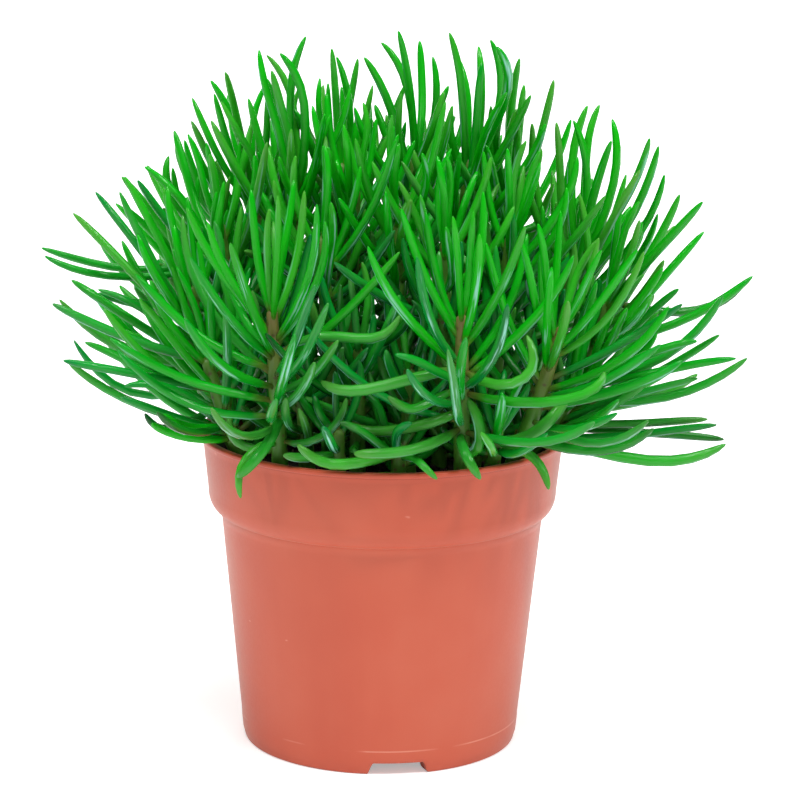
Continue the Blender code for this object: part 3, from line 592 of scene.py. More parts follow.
LEAF_THINNEST = 3.1 * MM
LEAF_THICKEST = 3.7 * MM
OUTLINE_LEAF = 56.0 * MM
FRONT_AGE = 0.8
GOLDEN_ANGLE = math.radians(137.508)
FLAT_SIDE_ALLOWANCE = 1.12
CLEARANCE = 0.5 * MM
SAMPLES = 33
ROOT_SHARE = 0.25
YOUNG_SPREAD = 9
OLD_SPREAD = 72
YOUNG_LENGTH = 0.62
LENGTH_RANGE = (0.86, 1.04)
RISE_RANGE = (0.12, 0.30)
MOST_DROOP = 0.14
CURL_RANGE = (0.06, 0.30)
SWAY_RANGE = (-0.10, 0.10)
TURN_SHARE = 0.45
HEADING_WEIGHT = 0.35
CAD_LEAF_RINGS = (0.0, 0.36, 0.80, 1.0)
OUTLINE_TRIES = 40
RULE_TRIES = 26
SEED = 5
DOME = (113.0 * MM, 104.0 * MM, 103.0 * MM)
DOME_CENTRE_HEIGHT = 128.0 * MM
DOME_FILL = 0.94
TOP_DOME_FILL = 1.04
TOP_LENGTH = 1.25
EXTRA_SHARE = 3.4
EXTRA_RIGHT_SHARE = 4.0
EXTRA_FRONT_SHARE = 1.3
EXTRA_LENGTH = 2.2
LOWEST_ROOT = 0.03
EXTRA_CLEARANCE = 0.1 * MM
EXTRA_TRIES = 30
BOX_MARGIN = 1.0 * MM

# Leaves that run out to the plant's outline: for each stem, where their tips lie in mm, and the
# heading of the tip in degrees, as seen from the front, anticlockwise from +X
OUTLINE_TIPS = {
    "left_high": (
        (-109, 2, 163, 150), (-109, -4, 161, 147), (-85, 14, 186, 119), (-77, 8, 188, 137),
        (-68, 14, 196, 101), (-81, 4, 187, 115), (-77, 12, 184, 115),
    ),
    "left": (
        (-102, -18, 156, 146), (-100, -8, 176, 131), (-94, -2, 181, 131), (-84, -10, 187, 120),
        (-83, -18, 183, 119), (-87, -26, 141, 162), (-90, -22, 153, 157),
    ),
    "left_low": (
        (-105, -26, 150, 149), (-97, -30, 138, 159), (-100, -36, 135, 157), (-102, -24, 130, 147),
        (-83, -36, 121, 158), (-80, -44, 128, 178),
    ),
    "top_far_left": (
        (-65, 36, 199, 115), (-58, 38, 213, 120), (-57, 30, 208, 112), (-66, 30, 192, 96),
        (-53, 32, 218, 104), (-73, 22, 187, 105), (-71, 26, 190, 124),
    ),
    "top_left": (
        (-46, 10, 209, 118), (-45, 20, 224, 110), (-40, 14, 220, 114), (-37, 22, 223, 109),
        (-33, 12, 225, 113), (-30, 20, 230, 113),
    ),
    "top_middle_left": ((-18, 36, 224, 93), (-14, 30, 222, 99)),
    "top_middle": (
        (-8, 30, 223, 123), (-1, 34, 227, 120), (3, 28, 231, 114), (9, 36, 224, 105), (17, 30, 222, 93),
    ),
    "top_middle_right": (
        (22, 24, 231, 96), (29, 18, 222, 94), (30, 28, 223, 88), (33, 20, 228, 93), (36, 30, 229, 88),
    ),
    "top_right": (
        (42, 36, 221, 88), (40, 44, 211, 97), (44, 30, 214, 85), (55, 38, 215, 70), (47, 34, 201, 98),
    ),
    "right_high": (
        (56, 2, 205, 90), (61, 8, 205, 110), (64, 14, 207, 86), (67, 4, 207, 85), (70, -2, 200, 88),
        (74, 10, 204, 100), (84, 12, 201, 72), (87, 4, 197, 84), (91, 6, 188, 76),
    ),
    "right": (
        (95, -4, 184, 72), (100, -10, 182, 51), (102, -2, 171, 54), (90, -22, 164, 59),
        (96, -18, 155, 45), (119, -2, 156, 44), (118, -12, 149, 25),
    ),
    "right_low": (
        (106, -24, 154, 66), (101, -28, 140, 3), (107, -18, 140, 37), (109, -30, 137, 12),
        (115, -22, 133, 43), (100, -32, 128, 12), (112, -24, 107, -3), (104, -30, 115, 0),
        (106, -36, 116, 20), (102, -20, 125, 32),
    ),
}

# Leaves that lie over the rim and across the front: stem, thickness in mm, and four points
# of the leaf's middle line in mm, from the stem to the tip
FRONT_LEAVES = (
    ("front_left", 4.2, (-32, -40, 118), (-35, -49, 112), (-39.5, -53.5, 106), (-44.5, -53.5, 99.5)),
    ("front_left", 3.3, (-32, -40, 107), (-38, -45.5, 108.8), (-43.6, -49.8, 104), (-47.3, -52, 94)),
    ("front_left", 3.4, (-32, -40, 105), (-41, -40.5, 107), (-47, -39.5, 110), (-50, -38.5, 117)),
    ("shoot_left", 3.8, (-14, -46, 105), (-20, -50, 106.1), (-26, -52, 106.1), (-32, -52.5, 106.7)),
    ("shoot_middle", 4.2, (5, -47, 106), (-8, -59, 106.3), (-18, -61, 106.8), (-24, -59, 113)),
    ("front_middle", 4.2, (25, -45, 121), (14, -52, 117), (-1, -50, 114), (-12, -49, 115.5)),
    ("front_middle", 4.2, (25, -45, 115), (13, -56.5, 111.5), (1, -62.5, 110.5), (-9, -63, 111)),
    ("shoot_right", 4.8, (35, -39, 110), (42, -45.5, 112.5), (51, -48, 119), (55, -47, 127)),
    ("front_middle", 4.6, (25, -44, 106), (30, -50, 110.5), (30, -52, 118), (26, -52, 126.5)),
    ("shoot_right", 3.6, (35, -38, 105), (42.5, -41.5, 107), (48.5, -45.5, 104), (53, -48, 97)),
    ("front_middle", 3.8, (25, -45, 112), (24, -51.5, 110.5), (25.5, -57, 107.5), (27.5, -61, 102)),
    ("shoot_middle", 3.0, (5, -47, 105), (8.5, -54, 106.6), (11.5, -60.5, 106.2), (14, -65, 102)),
    ("front_right", 4.4, (42, -31, 110), (66, -37, 105.5), (88, -37, 102.5), (107, -34, 108)),
    ("front_left", 4.0, (-34, -42, 135), (-19, -48, 143), (-5, -51, 143), (5, -51, 151)),
    ("front_middle", 4.4, (25, -46, 134), (7, -58, 132), (-8, -60, 129), (-19, -58, 132)),
    ("front_middle", 3.8, (25, -46, 128), (15, -55, 125), (9, -59, 124), (3, -61, 128)),
    ("front_middle", 4.0, (25, -46, 133), (36, -56, 131.5), (45, -58, 136), (48, -57, 147)),
    ("front_middle", 4.0, (25, -46, 126), (42, -53, 126), (60, -57, 129), (71, -55, 135)),
    ("front_left", 3.1, (-32, -40, 108.5), (-23, -51, 110.6), (-15.5, -53, 116.5), (-11.5, -53, 126)),
)


def leaf_radius(t, thickness):
    """Half of thickness, times 0.58 + 0.42 w^2 (3 - 2w) with w = t / 0.3, times (1 - t^7)^0.65."""
    w = np.minimum(t / 0.3, 1.0)
    return 0.5 * thickness * (0.58 + 0.42 * w * w * (3 - 2 * w)) * (1 - t ** 7) ** 0.65


def leaf_by_rule(root, out, radial, side, length, bends, t):
    """root + length (out t + up (rise t^3 - droop t (1-t)) + radial curl t (1-t) + side sway t^2)."""
    rise, droop, curl, sway = bends
    t = t[..., None]
    bend = UP * (rise * t ** 3 - droop * t * (1 - t)) + radial * curl * t * (1 - t) + side * sway * t ** 2
    return root + length * (out * t + bend)


def leaf_to_tip(root, tip, heading, t):
    """(1-t)^2 root + 2t(1-t) turn + t^2 tip, with turn a share of the length back along the heading."""
    turn = tip - TURN_SHARE * np.linalg.norm(tip - root) * heading
    t = t[..., None]
    return (1 - t) ** 2 * root + 2 * t * (1 - t) * turn + t ** 2 * tip


def leaf_through(points, t):
    """The cubic through four points at t = 0, 1/3, 2/3 and 1."""
    t = t[..., None]
    weights = (
        -(3 * t - 1) * (3 * t - 2) * (t - 1) / 2,
        9 * t * (3 * t - 2) * (t - 1) / 2,
        -9 * t * (3 * t - 1) * (t - 1) / 2,
        t * (3 * t - 1) * (3 * t - 2) / 2,
    )
    return sum(np.array(point) * MM * weight for point, weight in zip(points, weights))


class Bed:
    """Each stem's draws and leaves, and the space that all take up, as balls along their middle lines."""

    def __init__(self):
        self.draws = [random.Random(1000 * SEED + number) for number in range(len(STEMS))]
        self.leaves = [[] for _ in STEMS]
        self.points, self.radii = np.zeros((0, 3)), np.zeros(0)
        self.stems, self.roots = np.zeros(0, int), np.zeros(0, bool)

    def add(self, points, radii, stem, roots):
        """Take up the space of a stem or leaf, where roots marks the balls near the stem's middle."""
        self.points = np.vstack([self.points, points])
        self.radii = np.append(self.radii, radii)
        self.stems = np.append(self.stems, np.full(len(points), stem))
        self.roots = np.append(self.roots, roots)

    def is_clear(self, points, radii, stem, roots, clearance):
        """True if a leaf keeps its clearance, except to its own stem and its neighbours' roots."""
        reach = radii.max() + STEM_LOW_RADIUS + clearance
        near = ((self.points > points.min(0) - reach) & (self.points < points.max(0) + reach)).all(1)
        near &= ~((self.stems == stem) & self.roots)
        gaps = np.linalg.norm(points[:, None] - self.points[near], axis=2)
        gaps -= radii[:, None] + self.radii[near]
        gaps[np.ix_(roots, self.stems[near] == stem)] = 1.0
        return gaps.size == 0 or gaps.min() >= clearance


def clear_of_pot(points, radii):
    """True if a leaf passes over the rim, stays above the soil inside it, or hangs outside it."""
    across = np.hypot(points[:, 0], points[:, 1])
    under = points[:, 2] - radii - CLEARANCE
    wall = COLLAR_LOW_RADIUS - WALL
    above = under > RIM_HEIGHT
    inside = (across + radii + CLEARANCE < wall) & (under > SOIL_HEIGHT)
    outside = (across - radii - CLEARANCE > RIM_RADIUS) & (under > COLLAR_LOW_HEIGHT)
    return (above | inside | outside).all()


def dome_share(tip):
    """How far out a tip lies: 0 at the middle of the plant's rounded outline and 1 on it, squared."""
    return (((tip - UP * DOME_CENTRE_HEIGHT) / np.array(DOME)) ** 2).sum()


def leaf_space(line, thickness):
    """Balls along a leaf's smooth curve and along its CAD solid, and which are near the root."""
    t = np.linspace(0, 1, SAMPLES)
    rings = np.array(CAD_LEAF_RINGS)
    corners = line(rings)
    facets = np.stack([np.interp(t, rings, corners[:, axis]) for axis in range(3)], axis=1)
    wide = FLAT_SIDE_ALLOWANCE * np.interp(t, rings, leaf_radius(rings, thickness))
    radii = np.append(leaf_radius(t, thickness), wide)
    return np.concatenate([line(t), facets]), radii, np.tile(t < ROOT_SHARE, 2)


def keep_leaf(bed, number, leaf, space, clearance):
    """Keep the leaf if its space is clear of the pot, the soil and all that grows already."""
    points, radii, roots = space
    if not (clear_of_pot(points, radii) and bed.is_clear(points, radii, number, roots, clearance)):
        return False
    bed.add(points, radii, number, roots)
    bed.leaves[number].append(leaf)
    return True


def place_leaf(bed, number, leaf):
    """Keep one of the CAD's leaves, each a middle line, a thickness and an age, if it is clear."""
    return keep_leaf(bed, number, leaf, leaf_space(*leaf[:2]), CLEARANCE)


def place_extra_leaf(bed, number, leaf):
    """Keep one of the finer set of leaves, closer to the others, if it also stays in the CAD box."""
    line, thickness, _ = leaf
    t = np.linspace(0, 1, SAMPLES)
    points = line(t)
    in_box = (points > np.array(cad_low) - BOX_MARGIN) & (points < np.array(cad_high) + BOX_MARGIN)
    space = points, leaf_radius(t, thickness), t < ROOT_SHARE
    return in_box.all() and keep_leaf(bed, number, leaf, space, EXTRA_CLEARANCE)


def place_outline_leaf(bed, number, tip):
    """A leaf out to the given tip, from where on the stem's leafy part the heading asks least bend."""
    stem, draw = STEMS[number], bed.draws[number]
    line_points, _ = stem_line(stem, np.linspace(0, 1, 200))
    leafy = np.linalg.norm(line_points[-1] - line_points, axis=1) < stem[7] * MM
    for attempt in range(OUTLINE_TRIES):
        end = np.array(tip[:3]) * MM + np.array([0, draw.gauss(0, 0.6 * MM * attempt), 0])
        turn = math.radians(tip[3]) + draw.gauss(0, 0.01 * attempt)
        want = (OUTLINE_LEAF + draw.uniform(-4, 4) * MM) * (1 - 0.006 * attempt)
        chords = end - line_points
        aside = np.abs(chords[:, 0] * math.sin(turn) - chords[:, 2] * math.cos(turn))
        misfit = np.abs(np.linalg.norm(chords, axis=1) - want) + HEADING_WEIGHT * aside
        root = line_points[np.argmin(np.where(leafy, misfit, 1.0))]
        heading = unit(np.array([math.cos(turn), unit(end - root)[1], math.sin(turn)]))
        thickness = draw.uniform(LEAF_THINNEST, LEAF_THICKEST)
        age = 1 - 0.7 * max(0.0, unit(end - root)[2])
        if place_leaf(bed, number, (partial(leaf_to_tip, root, end, heading), thickness, age)):
            return


def place_leaf_by_rule(bed, number, age, turn, place, tries, stretch=1.0, full=DOME_FILL):
    """A leaf at its golden angle: upright and short when young, spreading and long when old."""
    stem, draw = STEMS[number], bed.draws[number]
    leafy, longest = stem[7] * MM * stretch, stem[9] * MM * (TOP_LENGTH if full > DOME_FILL else 1.0)
    line_points, _ = stem_line(stem, np.linspace(0, 1, 40))
    total = np.linalg.norm(np.diff(line_points, axis=0), axis=1).sum()
    root, axis = stem_line(stem, max(LOWEST_ROOT, 0.99 - 0.985 * age ** 0.9 * leafy / total))
    across = unit(np.cross(axis, [0.0, 1.0, 0.0]))
    along = np.cross(axis, across)
    for attempt in range(tries):
        azimuth = turn + draw.gauss(0, 0.08 + 0.03 * attempt)
        spread = math.radians(YOUNG_SPREAD + OLD_SPREAD * age ** 0.8)
        spread += draw.gauss(0, 0.07 + 0.006 * attempt)
        length = longest * (YOUNG_LENGTH + (1 - YOUNG_LENGTH) * min(1, age / 0.4) ** 0.8)
        length *= draw.uniform(*LENGTH_RANGE) * (1 - 0.016 * attempt)
        radial = math.cos(azimuth) * across + math.sin(azimuth) * along
        out = math.cos(spread) * axis + math.sin(spread) * radial
        side = unit(np.cross(out, axis) + 1e-9)
        rise = draw.uniform(*RISE_RANGE) * (0.35 + 0.8 * age) + max(0.0, -out[2]) * 0.6
        droop = draw.uniform(0, MOST_DROOP) * age
        bends = (rise, droop, draw.uniform(*CURL_RANGE), draw.uniform(*SWAY_RANGE))
        thickness = draw.uniform(LEAF_THINNEST, LEAF_THICKEST) * (0.86 + 0.14 * min(1, age / 0.3))
        line = partial(leaf_by_rule, root, out, radial, side, length, bends)
        if dome_share(line(np.array(1.0))) < full and place(bed, number, (line, thickness, age)):
            return


def in_turn(counts):
    """Rank by rank, each stem that still gets a leaf, with its count of leaves."""
    for rank in range(max(counts)):
        for number, count in enumerate(counts):
            if rank < count:
                yield rank, number, count


def plan_leaves():
    """Each stem's leaves as a middle line, a thickness and an age: the CAD's first, then the rest."""
    bed = Bed()
    turns = [draw.uniform(0, 2 * math.pi) for draw in bed.draws]
    names = [stem[0] for stem in STEMS]
    s = np.linspace(0, 1, 40)
    for number, stem in enumerate(STEMS):
        bed.add(stem_line(stem, s)[0], stem_radius(s), number, np.ones(len(s), bool))
    for name, thickness, *points in FRONT_LEAVES:
        leaf = (partial(leaf_through, points), thickness * MM, FRONT_AGE)
        place_leaf(bed, names.index(name), leaf)
    for name, tips in OUTLINE_TIPS.items():
        for tip in tips:
            place_outline_leaf(bed, names.index(name), tip)
    for rank, number, count in in_turn([stem[8] for stem in STEMS]):
        turn = turns[number] + rank * GOLDEN_ANGLE
        place_leaf_by_rule(bed, number, rank / (count - 1), turn, place_leaf, RULE_TRIES)
    shares = {"front": EXTRA_FRONT_SHARE, "shoot": EXTRA_FRONT_SHARE, "right": EXTRA_RIGHT_SHARE}
    extras = [round(shares.get(stem[0][:5], EXTRA_SHARE) * stem[8]) for stem in STEMS]
    for rank, number, count in in_turn(extras):
        turn = turns[number] + (rank + 0.5) * GOLDEN_ANGLE + math.pi
        stretch = 1.0 if names[number].startswith(("front", "shoot")) else EXTRA_LENGTH
        full = TOP_DOME_FILL if names[number].startswith("top") else DOME_FILL
        age = (rank + 0.5) / count
        place_leaf_by_rule(bed, number, age, turn, place_extra_leaf, EXTRA_TRIES, stretch, full)
    return bed.leaves


# The plant's skin
# Each stem and its leaves are one living piece. A leaf's skin is a smooth tube, a little
# flattened above, with a thin pinkish root, a waxy bloom in streaks that is painted lighter
# on the upper side as highlights, and an olive tip. Its sides and underside are painted
# lighter as light, and leaves deep inside and low in the plant are painted darker as shade.

LEAF_SIDES = 8
LEAF_RINGS = 10
SKIN_SHARE = 0.88
FLATTENING = 0.90
BOW = 1.4 * MM
HOOK = 2.0 * MM
# Painted shade and light in a leaf's tone: leaves deep inside the plant and low down are painted darker,
# and those near the top lighter
PAINTED_SHADE_HEIGHT = 175.0 * MM
PAINTED_SHADE_FADE = 60.0 * MM
BRIGHTEST_TONE = 0.10
AGE_TONE = 0.50
INNER_PAINTED_SHADE = 0.8
SHADED_INNER_SHARE = 0.55
HEIGHT_PAINTED_SHADE = 0.25
TOP_PAINTED_LIGHT = -0.6
TONE_SPREAD = 0.18
FRONT_OLIVE = 0.6
FRONT_PINK = 1.0
INNER_PINK = 0.2
PATTERN_LENGTH = 400
LEAF_ROUGHNESS = (0.13, 0.30)
LEAF_YOUNG = (0.001, 0.450, 0.003)
LEAF_GREEN = (0.000, 0.340, 0.005)
LEAF_BLUE = (0.000, 0.220, 0.040)
# Deep green of old leaves, and the painted shade of leaves deep in the plant
LEAF_DEEP_GREEN_AND_SHADE = (0.000, 0.090, 0.010)
# Waxy bloom and painted highlight: pale blue-green streaks on the upper side of leaves, standing in part
# for reflections of the light above
LEAF_BLOOM_AND_HIGHLIGHT = (0.320, 0.720, 0.600)
# Painted light on a leaf's sides: a lighter yellow-green rim
LEAF_EDGE_PAINTED_LIGHT = (0.022, 0.460, 0.012)
# Painted light on a leaf's underside: a lighter green
LEAF_UNDER_PAINTED_LIGHT = (0.003, 0.390, 0.005)
LEAF_ROOT = (0.240, 0.200, 0.050)
LEAF_OLIVE = (0.085, 0.330, 0.036)
STEM_GREEN = (0.075, 0.250, 0.020)
STEM_PINK = (0.225, 0.165, 0.052)
STEM_SCAR = (0.120, 0.070, 0.030)


def skin_radius(t, thickness):
    """0.44 thickness (0.50 + 0.50 w^2 (3 - 2w)) (1 - t^10)^0.55 with w = t / 0.22."""
    w = np.minimum(t / 0.22, 1.0)
    return 0.5 * SKIN_SHARE * thickness * (0.50 + 0.50 * w * w * (3 - 2 * w)) * (1 - t ** 10) ** 0.55


def tube_skin(points, directions, radii, heights, shares, sides, flat_above):
    """A tube round all points but the last, its pole, with its straightened place in mm and shares.

    A ring is point + r (across cos a + over sin a), with over shortened above the middle line.
    """
    middle = points[:-1]
    chord = unit(middle[-1] - middle[0])
    reference = np.array([1.0, 0.0, 0.0]) if abs(chord[2]) > 0.9 else UP
    across = unit(np.cross(chord, reference))
    over = unit(np.cross(directions, across))
    across = np.cross(over, directions)
    angles = 2 * np.pi * (np.arange(sides) + 0.5) / sides
    up = np.sin(angles) * np.where(np.sin(angles) > 0, flat_above, 1.0)
    circle = np.cos(angles)[:, None] * across[:, None] + up[:, None] * over[:, None]
    rings = middle[:, None] + radii[:, None, None] * circle
    straight = np.zeros(rings.shape)
    straight[..., :2] = radii[:, None, None] / MM * np.stack([np.cos(angles), up], axis=1)
    straight[..., 2] = heights[:-1, None]
    skin = np.concatenate([rings.reshape(-1, 3), points[-1:]])
    straight = np.concatenate([straight.reshape(-1, 3), [[0, 0, heights[-1]]]])
    return skin, straight, np.append(np.repeat(shares, sides), 1.0)


def tube_faces(rings, sides):
    """Faces of a closed tube: quads between its rings, a cap at the first and a pole after the last."""
    ring = np.arange(rings - 1)[:, None] * sides
    side, after = np.arange(sides), np.roll(np.arange(sides), -1)
    quads = np.stack([ring + side, ring + after, ring + sides + after, ring + sides + side], axis=2)
    last = (rings - 1) * sides
    tip = np.stack([last + side, last + after, np.full(sides, rings * sides)], axis=1)
    return [np.arange(sides)[None, ::-1], quads.reshape(-1, 4), tip]


def leaf_skin(line, thickness, draw):
    """One leaf's points, straightened place and share along.

    The middle line gains bow sin(pi t) + hook max((t - 0.6) / 0.4, 0)^2, with both drawn at random.
    """
    t = np.sin(0.5 * np.pi * np.linspace(0, 1, LEAF_RINGS + 1))
    bow = np.array([draw.gauss(0, 0.5) for _ in range(3)]) * BOW
    hook = np.array([draw.gauss(0, 0.8), draw.gauss(0, 0.8), draw.gauss(-0.2, 0.4)]) * HOOK

    def bent(t):
        late = np.maximum((t - 0.6) / 0.4, 0.0)[:, None]
        return line(t) + bow * np.sin(np.pi * t)[:, None] + hook * late ** 2

    points = bent(t)
    directions = unit(bent(np.minimum(t + 0.01, 1.0)) - bent(np.maximum(t - 0.01, 0.0)))
    length = np.linalg.norm(np.diff(points, axis=0), axis=1).sum() / MM
    radii = skin_radius(t, thickness)
    return tube_skin(points, directions[:-1], radii[:-1], t * length, t[:-1], LEAF_SIDES, FLATTENING)


def stem_skin(stem):
    """One stem's points, straightened place and share of pink, which grows towards the top."""
    s = np.linspace(0, 1, STEM_RINGS)
    points, directions = stem_line(stem, s)
    total = np.linalg.norm(np.diff(points, axis=0), axis=1).sum()
    from_top = (1 - s) * total
    pink = np.clip(1.05 - 1.4 * from_top / (stem[7] * MM), 0, 1)
    bud = points[-1:] + directions[-1] * BUD_HEIGHT
    points = np.concatenate([points[:1] - UP * STEM_DEPTH, points, bud])
    directions = np.concatenate([[UP], directions])
    radii = np.append(STEM_LOW_RADIUS, stem_radius(s))
    heights = np.append(-STEM_DEPTH, s * total) / MM
    heights = np.append(heights, heights[-1] + 1)
    return tube_skin(points, directions, radii, heights, np.append(0.0, pink), STEM_SIDES, 1.0)


def leaf_colours(line, age, draw):
    """A leaf's tone, 0 for bright to 1 for deep: by its age and at random, with painted shade deep in the
    plant and painted shade and light by height; and its olive.
    """
    tip = line(np.array(1.0))
    # Painted shade: the deeper a tip lies inside the plant, the darker the leaf
    inside = 1 - min(1.0, dome_share(tip) / SHADED_INNER_SHARE)
    # Painted shade and light by height: low leaves darker, the highest lighter
    low = 0.0 if age == FRONT_AGE else min(1.0, max(TOP_PAINTED_LIGHT, (PAINTED_SHADE_HEIGHT - tip[2]) / PAINTED_SHADE_FADE))
    tone = BRIGHTEST_TONE + AGE_TONE * age + INNER_PAINTED_SHADE * inside + HEIGHT_PAINTED_SHADE * low
    tone += draw.gauss(0, TONE_SPREAD)
    olive = draw.random() ** 3 + (FRONT_OLIVE if age == FRONT_AGE else 0.0)
    return min(1.0, max(0.0, tone)), min(1.0, olive)


def make_leafy_stem(stem, leaves, leaf_material, stem_material):
    """One stem and its leaves as one mesh, with each point's straightened place, share, tone and olive."""
    draw = random.Random(stem[0])
    pinkness = FRONT_PINK if stem[0].startswith("front") else INNER_PINK
    parts = [(*stem_skin(stem), pinkness, 0.0, tube_faces(STEM_RINGS + 1, STEM_SIDES))]
    for line, thickness, age in leaves:
        skin, straight, share = leaf_skin(line, thickness, draw)
        # The tone holds painted shade and light as well as the leaf's own colour
        tone, olive = leaf_colours(line, age, draw)
        straight = straight + [0, 0, PATTERN_LENGTH * draw.random()]
        parts.append((skin, straight, share, tone, olive, tube_faces(LEAF_RINGS, LEAF_SIDES)))
    skins, straights, shares, tones, olives, faces = zip(*parts)
    counts = [len(skin) for skin in skins]
    starts = np.cumsum([0] + counts[:-1])
    shifted = [face + start for group, start in zip(faces, starts) for face in group]
    piece = make_piece("fine_leafy_stem_" + stem[0], np.concatenate(skins), shifted)
    mesh = piece.data
    place = mesh.attributes.new("straightened", "FLOAT_VECTOR", "POINT")
    place.data.foreach_set("vector", np.concatenate(straights).ravel())
    values = np.concatenate(shares), np.repeat(tones, counts), np.repeat(olives, counts)
    for name, value in zip(("share", "tone", "olive"), values):
        mesh.attributes.new(name, "FLOAT", "POINT").data.foreach_set("value", value)
    mesh.materials.append(leaf_material)
    mesh.materials.append(stem_material)
    stem_faces = sum(len(face) for face in faces[0])
    kind = (np.arange(len(mesh.polygons)) < stem_faces).astype(np.int32)
    mesh.polygons.foreach_set("material_index", kind)
    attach(piece, "root")
    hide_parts("leafy_stem_" + stem[0])


def leafy_attributes(material):
    """What the mesh says at each point: its straightened place, share, tone and olive."""
    kinds = (("straightened", "Vector"), ("share", "Fac"), ("tone", "Fac"), ("olive", "Fac"))
    return [source(material.node_tree, "Attribute", output, attribute_name=name) for name, output in kinds]


def waxy_leaf():
    """Green by each leaf's tone, which holds painted shade, pinkish at the root and olive at the tip, with
    lengthwise waxy streaks painted lighter on top as highlights, and sides and underside painted lighter as
    light.
    """
    material = new_material("waxy leaf")
    place, along, tone, olive = leafy_attributes(material)
    across, over = coordinate(place, "X"), coordinate(place, "Y")
    green = ramp(tone, (0.05, LEAF_YOUNG), (0.40, LEAF_GREEN), (0.75, LEAF_BLUE), (1.0, LEAF_DEEP_GREEN_AND_SHADE))
    # Painted light: the leaf's sides lighter yellow-green, as light shining through its rim
    edge_lit = blend(remap(compute("ABSOLUTE", across), 0.9, 1.5, 0.0, 0.45), green, LEAF_EDGE_PAINTED_LIGHT)
    # Painted light: the underside lighter green, as light shining through from below
    under_lit = blend(remap(over, -0.3, -1.4, 0.0, 0.6), edge_lit, LEAF_UNDER_PAINTED_LIGHT)
    streaks = noise(stretched(place, (0.9, 0.9, 0.045)), 1.0, 3.0)
    # Waxy bloom with painted highlights: lengthwise streaks, lighter on the upper side only
    wax_and_highlight = mask(streaks, (0.53, 0.0), (0.64, 0.9))
    waxed_and_highlit = blend(times(remap(over, 0.4, 1.2), wax_and_highlight), under_lit, LEAF_BLOOM_AND_HIGHLIGHT)
    whole = times(compute("POWER", olive, 2.0), 0.42)
    mellow = blend(whole, waxed_and_highlit, LEAF_OLIVE)
    late = times(mask(along, (0.70, 0.0), (1.0, 0.75)), olive)
    tipped = blend(late, mellow, LEAF_OLIVE)
    ribs = noise(stretched(place, (2.6, 2.6, 0.03)), 1.0, 2.0)
    return coat(material, {
        "Base Color": blend(mask(along, (0.03, 0.9), (0.15, 0.0)), tipped, LEAF_ROOT),
        "Roughness": remap(streaks, 0.0, 1.0, *LEAF_ROUGHNESS),
        "Normal": bump(ribs, 0.45, 0.4 * MM),
        "Subsurface Weight": 0.12,
        "Subsurface Radius": (0.3 * MM, 2.0 * MM, 0.2 * MM),
        "Specular IOR Level": 0.32,
    })


def fleshy_stem():
    """Green at the foot and pinkish brown among the leaves, with darker scars where leaves were."""
    material = new_material("fleshy stem")
    place, share, pinkness, _ = leafy_attributes(material)
    skin = blend(times(share, pinkness), STEM_GREEN, STEM_PINK)
    cells = {"Vector": stretched(place, (0.28, 0.28, 0.34)), "Scale": 1.0}
    scars = step("TexVoronoi", "Distance", cells, feature="F1")
    return coat(material, {
        "Base Color": blend(mask(scars, (0.14, 0.8), (0.26, 0.0)), skin, STEM_SCAR),
        "Roughness": 0.42,
        "Normal": bump(scars, 0.4, 0.6 * MM),
        "Subsurface Weight": 0.15,
        "Subsurface Radius": (3.0 * MM, 2.0 * MM, 1.0 * MM),
    })


leaf_material, stem_material = waxy_leaf(), fleshy_stem()
for stem, leaves in zip(STEMS, plan_leaves()):
    make_leafy_stem(stem, leaves, leaf_material, stem_material)

# The floor, the light and the camera
# A plain white floor under broad, soft studio light, seen from the photograph's place: about
# a metre in front, a little above the pot, with a long lens.

FLOOR_SIZE = 40.0
FLOOR_GAP = 0.05 * MM
WORLD_LIGHT = 0.44
WORLD_SHINE = 0.08
FLOOR_COLOUR = (0.92, 0.92, 0.92)
FLOOR_GLOW = 0.42
CAMERA_DISTANCE = 1.100
CAMERA_HEIGHT = 0.364
LOOK_HEIGHT = 0.124
FOCAL_SHARE = 3464 / 800
CAMERA_ROLL = 0.0125
CENTRE_PIXEL = (383.8, 366.7)
IMAGE_SIZE = 800
# Distant lights: name, azimuth, elevation and width in degrees, and power
SUNS = (
    ("top", -90, 76, 36, 2.2),
    ("right", -28, 48, 7, 1.06),
    ("left", -152, 46, 7, 0.58),
    ("back", 80, 48, 20, 0.40),
)


def make_floor():
    """A flat square just under the pot, which glows a little to the camera alone."""
    half = FLOOR_SIZE / 2
    square = ((-half, -half), (half, -half), (half, half), (-half, half))
    floor = make_piece("floor", [(x, y, -FLOOR_GAP) for x, y in square], [np.array([[0, 1, 2, 3]])])
    material = new_material("studio floor")
    floor.data.materials.append(coat(material, {
        "Base Color": FLOOR_COLOUR,
        "Roughness": 0.9,
        "Specular IOR Level": 0.1,
        "Emission Color": FLOOR_COLOUR,
        "Emission Strength": times(source(material.node_tree, "LightPath", "Is Camera Ray"), FLOOR_GLOW),
    }))


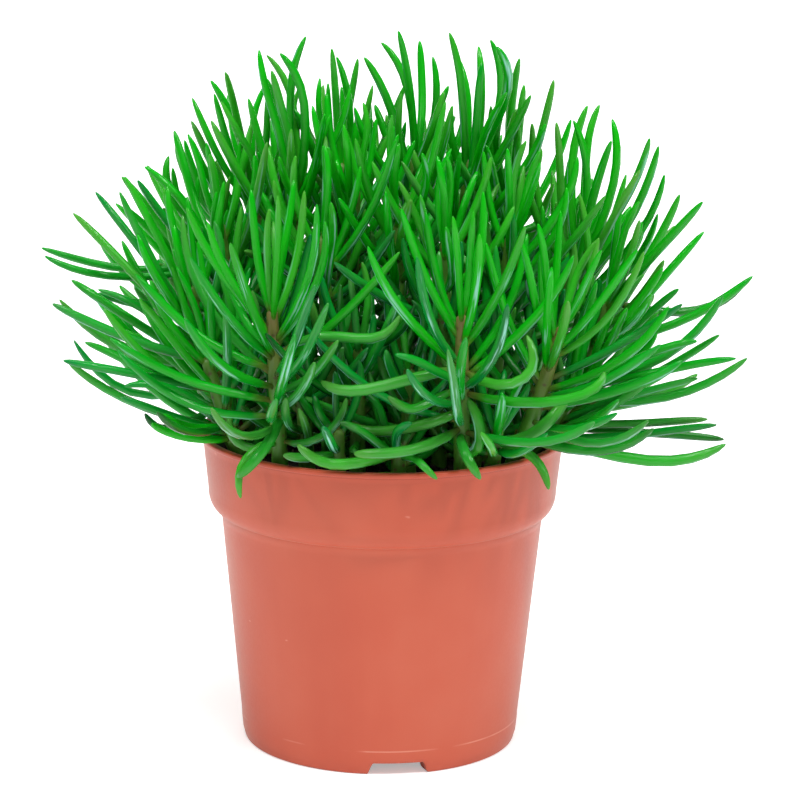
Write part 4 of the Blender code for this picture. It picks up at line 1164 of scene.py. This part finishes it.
def sun_light(name, azimuth, elevation, width, power):
    """A distant soft light from an azimuth and elevation in degrees, as wide in the sky as given."""
    data = bpy.data.lights.new(name, "SUN")
    data.angle = math.radians(width)
    data.energy = power
    light = bpy.data.objects.new(name, data)
    turn, lift = math.radians(azimuth), math.radians(elevation)
    toward = Vector((math.cos(lift) * math.cos(turn), math.cos(lift) * math.sin(turn), math.sin(lift)))
    light.rotation_euler = toward.to_track_quat("Z", "Y").to_euler()
    bpy.context.scene.collection.objects.link(light)


def make_world():
    """White all round: brightest to the camera, for a plain backdrop, and dimmest in reflections."""
    world = bpy.data.worlds.new("studio")
    world.use_nodes = True
    shiny = source(world.node_tree, "LightPath", "Is Glossy Ray")
    strength = step("Mix", 0, {0: shiny, 2: WORLD_LIGHT, 3: WORLD_SHINE})
    strength = step("Mix", 0, {0: shiny.node.outputs["Is Camera Ray"], 2: strength, 3: 1.0})
    fill(world.node_tree.nodes["Background"], {"Strength": strength, "Color": (1.0, 1.0, 1.0)})
    bpy.context.scene.world = world


def make_camera():
    """The camera, aimed at the plant's middle, then rolled and shifted to the photograph's frame."""
    data = bpy.data.cameras.new("camera")
    data.sensor_width = 36.0
    data.lens = FOCAL_SHARE * data.sensor_width
    data.shift_x = (IMAGE_SIZE / 2 - CENTRE_PIXEL[0]) / IMAGE_SIZE
    data.shift_y = (CENTRE_PIXEL[1] - IMAGE_SIZE / 2) / IMAGE_SIZE
    camera = bpy.data.objects.new("camera", data)
    place = Vector((0, -CAMERA_DISTANCE, CAMERA_HEIGHT))
    aim = (Vector((0, 0, LOOK_HEIGHT)) - place).to_track_quat("-Z", "Y").to_matrix()
    turned = aim @ Matrix.Rotation(CAMERA_ROLL, 3, "Z")
    camera.matrix_world = Matrix.Translation(place) @ turned.to_4x4()
    bpy.context.scene.collection.objects.link(camera)
    bpy.context.scene.camera = camera


make_floor()
for sun in SUNS:
    sun_light(*sun)
make_world()
bpy.context.scene.view_settings.view_transform = "Standard"
make_camera()
